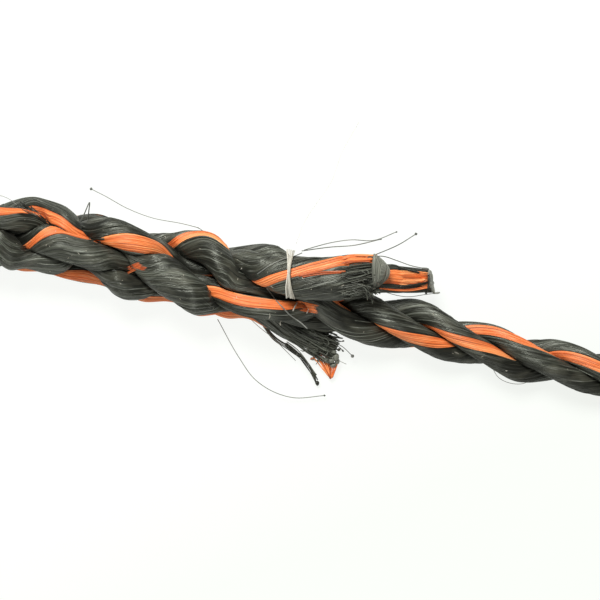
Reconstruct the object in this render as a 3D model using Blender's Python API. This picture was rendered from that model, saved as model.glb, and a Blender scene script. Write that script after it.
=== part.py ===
"""Frayed rope: a length of three-strand rope with a worn splice and three frayed strand ends.

The rope lies along +X on the surface z = 0. Every strand is lofted through cross-sections taken square
to the rope. A section is an oval, pressed flat where it meets the next strand and where it meets the
surface, so neighbours always keep GAP between them. All sizes below are in millimetres and degrees;
angles in a section are measured from +Y (across the rope) towards +Z (up).
"""
import math
from typing import NamedTuple

import bpy
import numpy as np

MM = 0.001
GAP = 0.3                     # clearance between any two pieces
SAG = 0.06                    # extra room for the straight runs between two sections
START, END = -6.0, 143.0      # cut ends of the rope, along its length
SPLICE_END = 96.0             # where the splice ends and the plain rope begins
SPLICE_STEP = 2.5             # spacing of the sections in the splice, the same for all strands
PLAIN_STEP = 3.1              # the same in the plain rope
OUTER_POINTS = 8              # points on the black part of a section
MARKER_DEPTH = 0.46           # share of the strand's radius taken by the orange yarn
ROUNDING = 9.0                # sharpness of the corners where strands press together
MELT = 0.82                   # size of a melted end, as a share of the strand
LEAST_SHARE = 0.40            # least share of the room between two strands that each one keeps
LEAST_YARN = 0.25             # least thickness of an orange yarn
MARGIN_SHARE = 0.7            # most of an orange yarn's half angle that its side clearance takes
LEAST_RADIUS = 0.62           # least distance from a strand's centre to a pressed face
CROSSING_RADIUS = 4.2         # distance from the centre line at which crossing strands share the room
CROSSING_ANGLE = 42.0         # angle within which a crossing strand pushes a standing strand
CROSSING_PUSH = 0.75          # share of a crossing strand's offset that the standing strand gives way
FREE_TAIL = 9.5               # distance from the centre line beyond which a tail touches nothing
CENTRE_EASE = 2.0             # distance from the centre line over which a crossing strand starts to push


class Axis(NamedTuple):
    """Centre line of the rope."""
    station: float
    across: float
    up: float


AXIS = (
    Axis(-6, 1.9, 7.3), Axis(10, 2.3, 7.3), Axis(22, 2.1, 7.3), Axis(31, 1.5, 7.3), Axis(45, 1.8, 7.3),
    Axis(52, 2.1, 7.4), Axis(60, 2.4, 7.5), Axis(68, 1.7, 7.3), Axis(76, 1.0, 6.8), Axis(86, 0.6, 5.9),
    Axis(95, 0.7, 5.1), Axis(103, 0.2, 4.7), Axis(111, 0.2, 4.55), Axis(119, -0.5, 4.55),
    Axis(128, 0.0, 4.55), Axis(143, -0.3, 4.55),
)


class Lay(NamedTuple):
    """Turn of the laid strands about the rope's centre line."""
    station: float
    turn: float


LAY = (
    Lay(-6, -345), Lay(7.5, -240), Lay(15.5, -180), Lay(23.3, -120), Lay(31.5, -60), Lay(40.5, 0),
    Lay(49, 60), Lay(58.5, 120), Lay(67.5, 180), Lay(77.5, 240), Lay(86.5, 300), Lay(95, 360),
    Lay(111, 480), Lay(127, 600), Lay(143, 721),
)


class Spread(NamedTuple):
    """Distance of the standing strands from the centre line, their half sizes and orange yarn."""
    station: float
    radius: float
    half_width: float
    half_depth: float
    marker_half: float     # half angle taken by the orange yarn


SPREAD = (
    Spread(-6, 4.6, 4.5, 3.4, 20), Spread(52, 4.6, 4.5, 3.4, 20), Spread(60, 4.6, 4.2, 3.5, 22),
    Spread(70, 3.9, 3.4, 3.1, 25), Spread(80, 3.3, 2.9, 2.8, 28), Spread(90, 3.0, 2.7, 2.65, 30),
    Spread(98, 2.8, 2.55, 2.5, 30), Spread(106, 2.6, 2.42, 2.42, 30), Spread(143, 2.6, 2.42, 2.42, 30),
)


class Bulge(NamedTuple):
    """A place where one standing strand leaves the even lay: further out, or turned ahead."""
    strand: int
    station: float
    length: float
    outward: float
    turn: float


BULGES = (
    Bulge(0, 2, 7, 0.0, 58), Bulge(2, -1, 5, 0.7, 0), Bulge(1, -3, 4, -0.7, -8), Bulge(1, 6, 5, 0.6, 0),
    Bulge(1, 11.5, 3, -0.7, 0), Bulge(1, 32, 7, 0.7, -6), Bulge(2, 34, 6, 0.3, 10),
    Bulge(0, 40, 3, -0.5, 0), Bulge(0, 46, 6, 1.3, -8), Bulge(2, 47, 7, 0.7, -14),
    Bulge(2, 53, 6, 0.3, -16), Bulge(0, 55, 6, 0.6, 0), Bulge(1, 60, 7, 1.5, 0),
    Bulge(1, 74, 4, 0.4, -4), Bulge(0, 95, 8, 0.8, 0), Bulge(0, 119, 6, 0.4, 0),
)


class Facing(NamedTuple):
    """Direction in which the orange yarn of a strand faces; the whole strand twists with it."""
    station: float
    angle: float


STANDING_PHASE = (0.0, -120.0, -240.0)
STANDING_FACING = (
    (Facing(-6, 290), Facing(10, 240), Facing(24, 170), Facing(35, 98), Facing(38, 72), Facing(41, 50),
     Facing(45, 18), Facing(49, -8), Facing(70, -80), Facing(88, -120), Facing(97, -182),
     Facing(107, -266), Facing(116, -340), Facing(143, -520)),
    (Facing(-6, 135), Facing(2, 108), Facing(5.5, 86), Facing(10, 88), Facing(12, 86), Facing(15, 78),
     Facing(18, 62), Facing(30, -10), Facing(55, -190), Facing(66, -296), Facing(73, -338),
     Facing(78, -353), Facing(84, -400), Facing(92, -490),
     Facing(105, -640), Facing(113, -664), Facing(122, -716), Facing(143, -880)),
    (Facing(-6, 430), Facing(12, 350), Facing(31, 340), Facing(40, 268), Facing(50, 188),
     Facing(56, 150), Facing(70, -20), Facing(85.5, -167), Facing(94.5, -243), Facing(104, -326),
     Facing(126, -602), Facing(131, -622), Facing(137, -644), Facing(143, -680)),
)


class Tuck(NamedTuple):
    """A section of a tucked strand: its centre, half sizes, lean, orange yarn and slant."""
    station: float
    across: float
    up: float
    half_width: float
    half_depth: float
    lean: float            # direction of the depth axis
    facing: float          # direction of the orange yarn
    marker_half: float     # half angle of the orange yarn
    skew_across: float     # how far the section leans back along the rope per mm across
    skew_up: float         # the same per mm of height


TUCKED = (
    (   # over 1, under 2, over 3, under 1, over 2, then tail 1
        Tuck(-6, 3.8, 13.2, 2.8, 2.3, 80, 52, 34, 0, 0),
        Tuck(0, 4.5, 13.1, 2.8, 2.3, 76, 46, 26, 0, 0),
        Tuck(5, 5.1, 11.7, 2.5, 2.2, 70, 22, 18, 0, 0),
        Tuck(8, 5.0, 10.2, 2.3, 2.1, 64, 22, 18, 0, 0),
        Tuck(11, 4.2, 9.0, 2.3, 2.1, 60, 56, 20, 0, 0),
        Tuck(15, 4.3, 8.3, 2.4, 2.1, 60, 116, 24, 0, 0),
        Tuck(18.5, 5.8, 9.9, 2.8, 2.2, 68, 166, 26, 0, 0),
        Tuck(21.5, 6.6, 11.7, 3.1, 2.3, 72, 156, 30, 0, 0),
        Tuck(25, 6.7, 12.5, 3.3, 2.5, 74, 128, 36, 0, 0),
        Tuck(28.5, 6.2, 12.8, 3.1, 2.6, 72, 106, 46, 0, 0),
        Tuck(32, 5.6, 12.4, 2.7, 2.5, 68, 90, 46, 0, 0),
        Tuck(35.5, 5.0, 10.6, 2.3, 2.2, 62, 78, 36, 0, 0),
        Tuck(38.5, 3.9, 8.2, 2.2, 2.1, 60, 92, 18, 0, 0),
        Tuck(42, 3.2, 7.2, 2.2, 2.1, 60, 132, 14, 0, 0),
        Tuck(45, 3.6, 7.2, 2.3, 2.1, 60, 156, 18, 0, 0),
        Tuck(48, 4.6, 8.0, 2.4, 2.2, 60, 172, 26, 0, 0),
        Tuck(51, 6.0, 9.8, 2.7, 2.3, 62, 192, 30, 0, 0),
        Tuck(54, 6.5, 12.2, 3.0, 2.5, 70, 200, 30, 0, 0),
        Tuck(57, 6.1, 14.2, 3.3, 2.6, 78, 186, 28, 0, 0),
        Tuck(59, 5.8, 15.1, 3.4, 2.6, 82, 150, 28, 0, 0),
        Tuck(61, 5.7, 15.7, 3.7, 2.6, 85, 118, 26, 0, 0),
        Tuck(64, 5.9, 16.4, 4.3, 2.6, 88, 86, 25, 0, 0),
        Tuck(66, 6.0, 16.7, 4.6, 2.6, 90, 66, 23, 0, 0),
        Tuck(70, 6.5, 17.0, 4.8, 2.6, 90, 40, 20, 0, 0),
        Tuck(74, 7.4, 17.0, 4.8, 2.6, 90, 28, 18, -0.15, -0.15),
        Tuck(78, 8.7, 16.9, 4.8, 2.6, 90, 22, 18, -0.28, -0.35),
        Tuck(81, 9.8, 16.7, 4.4, 2.5, 90, 22, 18, -0.32, -0.5),
        Tuck(83.6, 10.8, 16.5, 3.7, 2.4, 90, 22, 18, -0.32, -0.5),
    ),
    (   # under 1, over 2, under 3, over 1, under 2, then tail 2
        Tuck(-6, 0.9, 8.2, 2.2, 2.1, 95, 250, 34, 0, 0),
        Tuck(0, 0.9, 8.2, 2.2, 2.1, 95, 225, 34, 0, 0),
        Tuck(4, 0.9, 8.7, 2.3, 2.1, 95, 190, 34, 0, 0),
        Tuck(6.3, 1.2, 10.9, 2.7, 2.2, 95, 140, 30, 0, 0),
        Tuck(8.5, 1.9, 12.8, 3.2, 2.4, 95, 82, 28, 0, 0),
        Tuck(12, 2.0, 13.5, 3.5, 2.6, 95, 28, 26, 0, 0),
        Tuck(18, 1.3, 13.6, 3.3, 2.6, 96, 6, 23, 0, 0),
        Tuck(22, 0.9, 13.4, 3.0, 2.5, 97, -25, 28, 0, 0),
        Tuck(25, 0.8, 12.5, 2.6, 2.3, 98, -60, 30, 0, 0),
        Tuck(28.5, 0.6, 9.8, 2.3, 2.1, 100, -95, 32, 0, 0),
        Tuck(34, 0.2, 8.0, 2.2, 2.1, 102, -138, 34, 0, 0),
        Tuck(41, 0.0, 8.0, 2.2, 2.1, 106, -190, 34, 0, 0),
        Tuck(46, -0.3, 8.8, 2.3, 2.1, 108, -236, 34, 0, 0),
        Tuck(49.5, -1.0, 10.6, 2.3, 2.2, 108, -268, 34, 0, 0),
        Tuck(53, -2.0, 12.2, 2.4, 2.3, 108, -284, 36, 0, 0),
        Tuck(57, -2.4, 12.9, 2.4, 2.3, 108, -294, 36, 0, 0),
        Tuck(61, -2.2, 12.9, 2.4, 2.3, 108, -300, 34, 0, 0),
        Tuck(66, -1.7, 12.1, 2.4, 2.2, 104, -308, 32, 0, 0),
        Tuck(70, -0.5, 9.9, 2.4, 2.2, 98, -320, 30, 0, 0),
        Tuck(73, 1.2, 7.7, 2.2, 2.0, 84, -300, 30, 0, 0),
        Tuck(76, 3.4, 8.0, 2.2, 1.9, 70, -262, 32, 0, 0),
        Tuck(79, 5.9, 10.1, 2.4, 2.0, 70, -266, 34, 0, 0),
        Tuck(82, 8.3, 10.9, 2.7, 2.0, 78, -282, 36, 0, 0),
        Tuck(86, 10.1, 10.3, 2.9, 2.2, 84, -282, 40, -0.1, 0),
        Tuck(90, 10.7, 9.2, 2.8, 2.2, 88, -280, 44, -0.25, -0.1),
        Tuck(95.3, 11.7, 7.4, 2.4, 2.1, 88, -280, 44, -0.4, -0.25),
    ),
    (   # along the lower side, then tail 3
        Tuck(-6, -2.2, 4.2, 2.4, 2.2, 190, 165, 32, 0, 0),
        Tuck(0, -2.4, 4.2, 2.4, 2.2, 190, 165, 32, 0, 0),
        Tuck(6, -3.5, 4.8, 2.5, 2.3, 190, 155, 34, 0, 0),
        Tuck(11, -2.7, 4.7, 2.3, 2.2, 188, 150, 36, 0, 0),
        Tuck(16, -3.2, 6.2, 2.4, 2.2, 186, 138, 40, 0, 0),
        Tuck(20, -3.0, 7.2, 2.6, 2.3, 185, 126, 46, 0, 0),
        Tuck(24, -2.8, 6.2, 2.4, 2.2, 188, 138, 40, 0, 0),
        Tuck(29, -3.4, 4.6, 2.4, 2.2, 190, 152, 34, 0, 0),
        Tuck(34, -4.3, 4.7, 2.5, 2.3, 190, 150, 38, 0, 0),
        Tuck(40, -3.0, 4.6, 2.4, 2.2, 190, 158, 32, 0, 0),
        Tuck(47, -3.2, 4.4, 2.4, 2.2, 190, 160, 32, 0, 0),
        Tuck(53, -3.9, 4.9, 2.5, 2.3, 190, 148, 38, 0, 0),
        Tuck(57, -2.9, 5.6, 2.5, 2.3, 186, 158, 34, 0, 0),
        Tuck(62, -3.9, 5.4, 2.7, 2.3, 150, 202, 30, 0, 0),
        Tuck(66, -4.9, 4.3, 2.8, 2.3, 120, 222, 26, 0.1, 0),
        Tuck(70, -5.9, 3.3, 3.0, 2.2, 100, 228, 24, 0.15, 0),
        Tuck(74, -7.0, 2.5, 3.2, 2.0, 92, 224, 22, 0.2, 0),
        Tuck(78.2, -8.1, 1.9, 3.5, 1.6, 90, 214, 22, 0.2, -0.1),
    ),
)


class Point(NamedTuple):
    """A point on a loose yarn, fibre or thread, with its half width there."""
    station: float
    across: float
    up: float
    half_width: float


LOOSE_YARNS = (
    (Point(61, -5.9, 2.6, 0.30), Point(64.5, -8.6, 1.2, 0.35), Point(68, -9.9, 0.8, 0.40),
     Point(71.5, -11.4, 0.7, 0.45), Point(74, -13.8, 0.7, 0.55), Point(75.7, -15.9, 0.8, 0.70)),
    (Point(67, -8.9, 1.8, 0.30), Point(70, -10.4, 2.5, 0.30), Point(73, -12.6, 2.7, 0.35),
     Point(75.2, -14.6, 2.8, 0.35)),
    (Point(72, -10.7, 1.3, 0.40), Point(74.5, -11.5, 1.3, 0.80), Point(77, -12.9, 1.2, 0.90),
     Point(78.7, -14.4, 1.2, 0.45)),
)
STRAY_FIBRES = (
    (Point(51, -6.9, 4.6, 0.20), Point(57.5, -14.2, 4.0, 0.20), Point(62, -18.2, 3.0, 0.20),
     Point(66.5, -20.0, 2.0, 0.20), Point(71, -20.4, 1.2, 0.20), Point(78, -18.4, 1.0, 0.25)),
    (Point(17.5, 15.2, 12.0, 0.45), Point(21, 14.3, 12.5, 0.15), Point(26, 12.8, 12.0, 0.15),
     Point(32, 11.9, 11.0, 0.15), Point(39, 12.1, 10.0, 0.15), Point(42.6, 12.0, 9.0, 0.20)),
    (Point(66, 11.9, 15.0, 0.20), Point(72, 14.1, 16.0, 0.20), Point(77, 15.6, 17.0, 0.18),
     Point(82.5, 18.2, 17.5, 0.35)),
    (Point(72, 15.1, 17.2, 0.15), Point(76, 16.6, 18.0, 0.15), Point(81, 17.6, 18.6, 0.15),
     Point(85.5, 20.5, 19.0, 0.30)),
    (Point(83.5, 15.6, 16.5, 0.18), Point(86.5, 17.8, 17.5, 0.18), Point(89.8, 21.0, 18.0, 0.35)),
)
PALE_THREAD = (
    Point(63.6, 11.6, 17.0, 0.80), Point(63.9, 9.2, 19.1, 0.55), Point(64.3, 6.5, 20.0, 0.50),
    Point(64.9, 3.6, 19.6, 0.75), Point(65.9, 1.1, 17.8, 0.80),
)
PALE_HAIR = (
    Point(64.5, 13.2, 16.8, 0.15), Point(65.1, 17.7, 15.2, 0.15), Point(67.1, 23.3, 12.0, 0.15),
    Point(69.0, 28.0, 8.6, 0.15), Point(70.0, 35.3, 3.6, 0.15), Point(72.2, 42.9, 0.4, 0.20),
)
FIBRE_SIDES = 5
FIBRE_STEPS_PER_SPAN = 2


# --- smooth curves through the tables ---------------------------------------------------------------

def smooth(rows, station, field):
    """Value of one column at a station, along a smooth curve through the rows."""
    x = np.array([row.station for row in rows], float)
    y = np.array([getattr(row, field) for row in rows], float)
    slope = np.gradient(y, x)
    steps = np.diff(y)
    turning = np.zeros(len(y), bool)
    turning[1:-1] = steps[:-1] * steps[1:] <= 0
    slope[turning] = 0.0
    s = min(max(station, x[0]), x[-1])
    k = min(int(np.searchsorted(x, s, side="right")) - 1, len(x) - 2)
    width = x[k + 1] - x[k]
    t = (s - x[k]) / width
    return ((1 + 2 * t) * (1 - t) ** 2 * y[k] + t * (1 - t) ** 2 * width * slope[k]
            + t * t * (3 - 2 * t) * y[k + 1] + t * t * (t - 1) * width * slope[k + 1])


class Section(NamedTuple):
    """One strand's section at a station, before its neighbours press on it."""
    centre: np.ndarray
    half_width: float
    half_depth: float
    lean: float
    facing: float
    marker_half: float
    skew: np.ndarray


def tucked_section(index, station):
    """Section of a tucked strand."""
    rows = TUCKED[index]
    value = {name: smooth(rows, station, name) for name in Tuck._fields[1:]}
    return Section(np.array([value["across"], value["up"]]), value["half_width"], value["half_depth"],
                   math.radians(value["lean"]), math.radians(value["facing"]),
                   math.radians(value["marker_half"]),
                   np.array([value["skew_across"], value["skew_up"]]))


def push_from_tucks(turn, station, axis):
    """How far a standing strand is pushed out (or drawn in) where a tucked strand crosses it."""
    push = 0.0
    for index in range(len(TUCKED)):
        if station > TUCKED[index][-1].station:
            continue
        offset = tucked_section(index, station).centre - axis
        away = math.hypot(*offset)
        apart = (turn - math.atan2(offset[1], offset[0]) + math.pi) % (2 * math.pi) - math.pi
        near = math.exp(-(apart / math.radians(CROSSING_ANGLE)) ** 2)
        touching = max(0.0, min((FREE_TAIL - away) / 2, away / CENTRE_EASE, 1.0))
        push -= near * touching * CROSSING_PUSH * max(-2.0, min(away - CROSSING_RADIUS, 2.0))
    return push


def standing_section(index, station):
    """Section of a standing strand, on its helix about the rope's centre line."""
    axis = np.array([smooth(AXIS, station, "across"), smooth(AXIS, station, "up")])
    turn = smooth(LAY, station, "turn") + STANDING_PHASE[index]
    radius = smooth(SPREAD, station, "radius")
    for bulge in BULGES:
        if bulge.strand == index:
            amount = math.exp(-((station - bulge.station) / bulge.length) ** 2)
            radius += bulge.outward * amount
            turn += bulge.turn * amount
    turn = math.radians(turn)
    radius += push_from_tucks(turn, station, axis)
    centre = axis + radius * np.array([math.cos(turn), math.sin(turn)])
    return Section(centre, smooth(SPREAD, station, "half_width"), smooth(SPREAD, station, "half_depth"),
                   turn, math.radians(smooth(STANDING_FACING[index], station, "angle")),
                   math.radians(smooth(SPREAD, station, "marker_half")), np.zeros(2))


def sections_at(station):
    """Sections of all strands that reach a station, keyed by (kind, index)."""
    found = {("standing", index): standing_section(index, station) for index in range(3)}
    for index, rows in enumerate(TUCKED):
        if station <= rows[-1].station:
            found["tucked", index] = tucked_section(index, station)
    return found


# --- pressed cross-sections -------------------------------------------------------------------------

def oval(section, angle):
    """Distance from a section's centre to its free oval, in one direction."""
    turned = angle - section.lean
    return 1.0 / math.hypot(math.cos(turned) / section.half_depth, math.sin(turned) / section.half_width)


class Press(NamedTuple):
    """A flat face that a neighbour presses into a strand's section."""
    towards: float
    distance: float


def presses_at(key, station):
    """Faces pressed into a strand at a station and halfway to the next ones, grouped by neighbour."""
    last = END if key[0] == "standing" else TUCKED[key[1]][-1].station
    groups = {}
    for nearby in (station - SPLICE_STEP / 2, station, station + SPLICE_STEP / 2):
        sections = sections_at(min(max(nearby, START), last))
        own = sections.pop(key)
        for other_key, other in sections.items():
            offset = other.centre - own.centre
            towards = math.atan2(offset[1], offset[0])
            reach = oval(own, towards)
            share = reach / (reach + oval(other, towards + math.pi))
            share = min(max(share, LEAST_SHARE), 1 - LEAST_SHARE)
            distance = max(math.hypot(*offset) * share - GAP / 2 - SAG, LEAST_RADIUS)
            groups.setdefault(other_key, []).append(Press(towards, distance))
    return groups.values()


def pressed_radius(own, presses, angle):
    """Distance from a strand's centre to its surface, pressed by its neighbours and the surface below."""
    inverse = oval(own, angle) ** -ROUNDING
    for group in presses:
        closest = max(math.cos(angle - face.towards) / face.distance for face in group)
        if closest > 1e-6:
            inverse += closest ** ROUNDING
    radius = inverse ** (-1.0 / ROUNDING)
    if math.sin(angle) < -1e-6:
        radius = min(radius, own.centre[1] / -math.sin(angle))
    return radius


def surface_point(station, section, angle, radius):
    """Point of a section in rope coordinates, with the section's slant."""
    offset = radius * np.array([math.cos(angle), math.sin(angle)])
    across, up = section.centre + offset
    return (station + float(section.skew @ offset), across, max(up, 0.0))


def groove_depth(own, presses):
    """Distance from a strand's centre to the flat bottom of the groove that holds its orange yarn."""
    radius = min(pressed_radius(own, presses, own.facing + side * own.marker_half) for side in (-1, 0, 1))
    return min((1 - MARKER_DEPTH) * radius, radius - GAP - LEAST_YARN) * math.cos(own.marker_half)


def strand_ring(key, station, scale=1.0):
    """Ring of the black yarns: round the strand, then along the bottom of the orange yarn's groove."""
    own, presses = sections_at(station)[key], presses_at(key, station)
    half = own.marker_half
    turns = [half + 2 * (math.pi - half) * k / (OUTER_POINTS - 1) for k in range(OUTER_POINTS)]
    radii = [pressed_radius(own, presses, own.facing + turn) for turn in turns]
    turns += [-half, half]
    radii += [groove_depth(own, presses) / math.cos(half)] * 2
    return [surface_point(station, own, own.facing + turn, scale * radius)
            for turn, radius in zip(turns, radii)]


def marker_ring(key, station, scale=1.0):
    """Ring of the orange yarn, GAP inside its groove."""
    own, presses = sections_at(station)[key], presses_at(key, station)
    inner = groove_depth(own, presses) + GAP
    ring = []
    for side in (-1, 0, 1):
        radius = pressed_radius(own, presses, own.facing + side * own.marker_half)
        turn = side * (own.marker_half - side_margin(own, radius))
        radius = pressed_radius(own, presses, own.facing + turn)
        ring.append(surface_point(station, own, own.facing + turn, scale * radius))
    for side in (1, -1):
        turn = side * (own.marker_half - side_margin(own, inner))
        ring.append(surface_point(station, own, own.facing + turn, scale * inner / math.cos(turn)))
    return ring


def side_margin(own, radius):
    """Angle that keeps the orange yarn GAP away from the side of its groove."""
    return min(math.asin(min(GAP / radius, 1.0)), MARGIN_SHARE * own.marker_half)


# --- meshes -----------------------------------------------------------------------------------------

def material(name, colour, roughness):
    """A plain Principled material."""
    made = bpy.data.materials.new(name)
    made.use_nodes = True
    shader = made.node_tree.nodes["Principled BSDF"]
    shader.inputs["Base Color"].default_value = (*colour, 1.0)
    shader.inputs["Roughness"].default_value = roughness
    made.diffuse_color = (*colour, 1.0)
    return made


class Piece(NamedTuple):
    """A named closed mesh, in rope coordinates and millimetres."""
    name: str
    vertices: np.ndarray
    faces: list
    material: object


def loft(name, rings, finish):
    """Close a row of equal rings into one solid with flat fans at both ends."""
    count = len(rings[0])
    vertices = [point for ring in rings for point in ring]
    faces = []
    for row in range(len(rings) - 1):
        for k in range(count):
            a, b = row * count + k, row * count + (k + 1) % count
            if math.dist(vertices[b], vertices[a + count]) <= math.dist(vertices[a], vertices[b + count]):
                faces += [(a, b, a + count), (b, b + count, a + count)]
            else:
                faces += [(a, b, b + count), (a, b + count, a + count)]
    for row, order in ((0, -1), (len(rings) - 1, 1)):
        centre = len(vertices)
        vertices.append(tuple(np.mean(rings[row], axis=0)))
        for k in range(count):
            fan = (centre, row * count + k, row * count + (k + 1) % count)
            faces.append(fan[::order])
    return Piece(name, np.array(vertices, float), faces, finish)


def stations(last):
    """Stations shared by all strands, with a short step for the melted edge at each end."""
    splice = np.arange(START + 0.5, SPLICE_END, SPLICE_STEP)
    plain = np.arange(splice[-1] + PLAIN_STEP, END, PLAIN_STEP)
    inner = [s for s in (*splice, *plain) if s < last - 0.5 - SPLICE_STEP / 3]
    return [START, *inner, last - 0.5, last]


def strand_piece(name, key, ring_of, last, finish):
    """One strand or orange yarn, with slightly melted ends."""
    rings = [ring_of(key, s, MELT if s in (START, last) else 1.0) for s in stations(last)]
    return loft(name, rings, finish)


def fibre_route(points):
    """Smooth, evenly divided route through a fibre's points, with its half widths."""
    rows = np.array(points, float)
    knots = np.concatenate([[0.0], np.cumsum(np.linalg.norm(np.diff(rows[:, :3], axis=0), axis=1))])
    slopes = np.gradient(rows, knots, axis=0)
    route = []
    for place in np.linspace(0.0, knots[-1], FIBRE_STEPS_PER_SPAN * (len(rows) - 1) + 1):
        k = min(int(np.searchsorted(knots, place, side="right")) - 1, len(rows) - 2)
        width = knots[k + 1] - knots[k]
        t = (place - knots[k]) / width
        route.append((1 + 2 * t) * (1 - t) ** 2 * rows[k] + t * (1 - t) ** 2 * width * slopes[k]
                     + t * t * (3 - 2 * t) * rows[k + 1] + t * t * (t - 1) * width * slopes[k + 1])
    return np.array(route)


def fibre_piece(name, points, finish, flatness=1.0):
    """A thin loose yarn, fibre or thread swept along its points."""
    route = fibre_route(points)
    tangents = np.gradient(route[:, :3], axis=0)
    rings = []
    for (*centre, half), tangent in zip(route, tangents):
        tangent = tangent / np.linalg.norm(tangent)
        side = np.cross((0.0, 0.0, 1.0), tangent)
        side /= np.linalg.norm(side)
        normal = np.cross(tangent, side)
        turns = [2 * math.pi * k / FIBRE_SIDES for k in range(FIBRE_SIDES)]
        rings.append([tuple(centre + half * (math.cos(a) * side + flatness * math.sin(a) * normal))
                      for a in turns])
    return loft(name, rings, finish)


def place(pieces):
    """Make the objects, centred over the origin and resting on z = 0."""
    lowest = np.min([piece.vertices.min(axis=0) for piece in pieces], axis=0)
    highest = np.max([piece.vertices.max(axis=0) for piece in pieces], axis=0)
    middle = (lowest + highest) / 2
    for piece in pieces:
        own = piece.vertices.mean(axis=0)
        mesh = bpy.data.meshes.new(piece.name)
        mesh.from_pydata(((piece.vertices - own) * MM).tolist(), [], piece.faces)
        mesh.materials.append(piece.material)
        mesh.update()
        placed = bpy.data.objects.new(piece.name, mesh)
        placed.location = ((own[0] - middle[0]) * MM, (own[1] - middle[1]) * MM, (own[2] - lowest[2]) * MM)
        bpy.context.scene.collection.objects.link(placed)


def main():
    """Build the rope."""
    for old in list(bpy.data.objects):
        bpy.data.objects.remove(old, do_unlink=True)
    black, orange, pale = (0.035, 0.038, 0.036), (0.86, 0.17, 0.04), (0.62, 0.58, 0.50)
    pieces = []
    for index in range(3):
        key = ("standing", index)
        pieces.append(strand_piece(f"standing_strand_{index + 1}", key, strand_ring, END,
                                   material(f"standing_black_{index + 1}", black, 0.6)))
        pieces.append(strand_piece(f"standing_marker_{index + 1}", key, marker_ring, END,
                                   material(f"standing_orange_{index + 1}", orange, 0.5)))
    for index, rows in enumerate(TUCKED):
        key, last = ("tucked", index), rows[-1].station
        pieces.append(strand_piece(f"tucked_strand_{index + 1}", key, strand_ring, last,
                                   material(f"tucked_black_{index + 1}", black, 0.6)))
        pieces.append(strand_piece(f"tucked_marker_{index + 1}", key, marker_ring, last,
                                   material(f"tucked_orange_{index + 1}", orange, 0.5)))
    for index, points in enumerate(LOOSE_YARNS):
        colour = orange if index == 2 else black
        pieces.append(fibre_piece(f"loose_yarn_{index + 1}", points,
                                  material(f"loose_{index + 1}", colour, 0.6)))
    for index, points in enumerate(STRAY_FIBRES):
        pieces.append(fibre_piece(f"stray_fibre_{index + 1}", points,
                                  material(f"stray_{index + 1}", (0.35, 0.35, 0.34), 0.6)))
    pieces.append(fibre_piece("pale_thread", PALE_THREAD, material("thread_pale", pale, 0.7), 0.4))
    pieces.append(fibre_piece("pale_hair", PALE_HAIR, material("hair_pale", pale, 0.7)))
    place(pieces)
    print("triangles", sum(len(piece.faces) for piece in pieces))


main()
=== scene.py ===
"""Frayed rope: a worn three-strand rope with a bulky splice and three frayed strand tails.

Six strands of fine charcoal filaments, each with an orange marker yarn, are laid from the same
sections as the solids: an oval, pressed flat where it meets the next strand or the surface. Sizes
are in millimetres along the rope (station), across it and up, and become metres when a mesh is
made. Angles in a section are measured from across the rope towards up.
"""
from __future__ import annotations

import logging
import math
from dataclasses import dataclass, field
from enum import Enum
from typing import NamedTuple, Sequence

import bpy
import numpy as np
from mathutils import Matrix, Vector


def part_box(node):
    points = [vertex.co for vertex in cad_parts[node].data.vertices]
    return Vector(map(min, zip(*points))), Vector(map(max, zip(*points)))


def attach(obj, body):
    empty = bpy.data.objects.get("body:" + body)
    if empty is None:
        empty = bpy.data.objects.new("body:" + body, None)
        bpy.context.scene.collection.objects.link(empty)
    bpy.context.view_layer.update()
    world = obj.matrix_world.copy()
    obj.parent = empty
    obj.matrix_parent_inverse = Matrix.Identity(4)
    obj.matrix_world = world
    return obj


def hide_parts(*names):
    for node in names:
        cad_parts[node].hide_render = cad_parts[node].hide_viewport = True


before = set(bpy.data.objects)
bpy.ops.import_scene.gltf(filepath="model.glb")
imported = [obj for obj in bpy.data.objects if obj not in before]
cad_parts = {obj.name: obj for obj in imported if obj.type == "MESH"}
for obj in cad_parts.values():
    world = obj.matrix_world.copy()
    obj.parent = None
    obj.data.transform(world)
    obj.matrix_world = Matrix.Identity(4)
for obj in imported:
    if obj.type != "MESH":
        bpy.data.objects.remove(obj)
log = logging.getLogger("frayed_rope")

MM = 0.001
START, END = -6.0, 143.0      # stations of the rope's two ends
CREVICE = 0.05                # gap left between two pressed strands
ROUNDING = 9.0                # sharpness of the corners where strands press together
LEAST_SHARE = 0.40            # least share of the way between two centres that a strand keeps
LEAST_RADIUS = 0.45           # least distance from a strand's centre to its pressed side
CROSSING_RADIUS = 4.2         # distance from the rope's centre where a tucked strand stops pushing
CROSSING_ANGLE = 42.0         # angle over which a crossing strand pushes
CROSSING_PUSH = 0.75          # how far it pushes, per millimetre that it lies further in
PUSH_LIMIT = 2.0              # most that it counts as lying further in or out
FREE_TAIL = 9.5               # distance from the rope's centre at which a tail is free of it
CENTRE_EASE = 2.0             # distance from the centre over which the push eases in
EASE = 1.1                    # reach along the rope over which its bends are eased
EASE_STEPS = np.linspace(-2.0, 2.0, 9)    # places read for that, as shares of the reach
MEASURED_STEP = 4.0           # degrees between the points that the upper side is read from
FIBRE_EDGE = -20.496          # outer edge of the first stray fibre, across the rope
TINY = 1e-6


class Axis(NamedTuple):
    """Centre line of the rope."""
    station: float
    across: float
    up: float


class Lay(NamedTuple):
    """Turn of the laid strands about the rope's centre line."""
    station: float
    turn: float


class Spread(NamedTuple):
    """Distance of the standing strands from the centre line, their half sizes and orange yarn."""
    station: float
    radius: float
    half_width: float
    half_depth: float
    marker_half: float


class Bulge(NamedTuple):
    """A place where one standing strand leaves the even lay: further out, or turned ahead."""
    strand: int
    station: float
    length: float
    outward: float
    turn: float


class Facing(NamedTuple):
    """Direction in which the orange yarn of a strand faces; the filaments twist with it."""
    station: float
    angle: float


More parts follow.
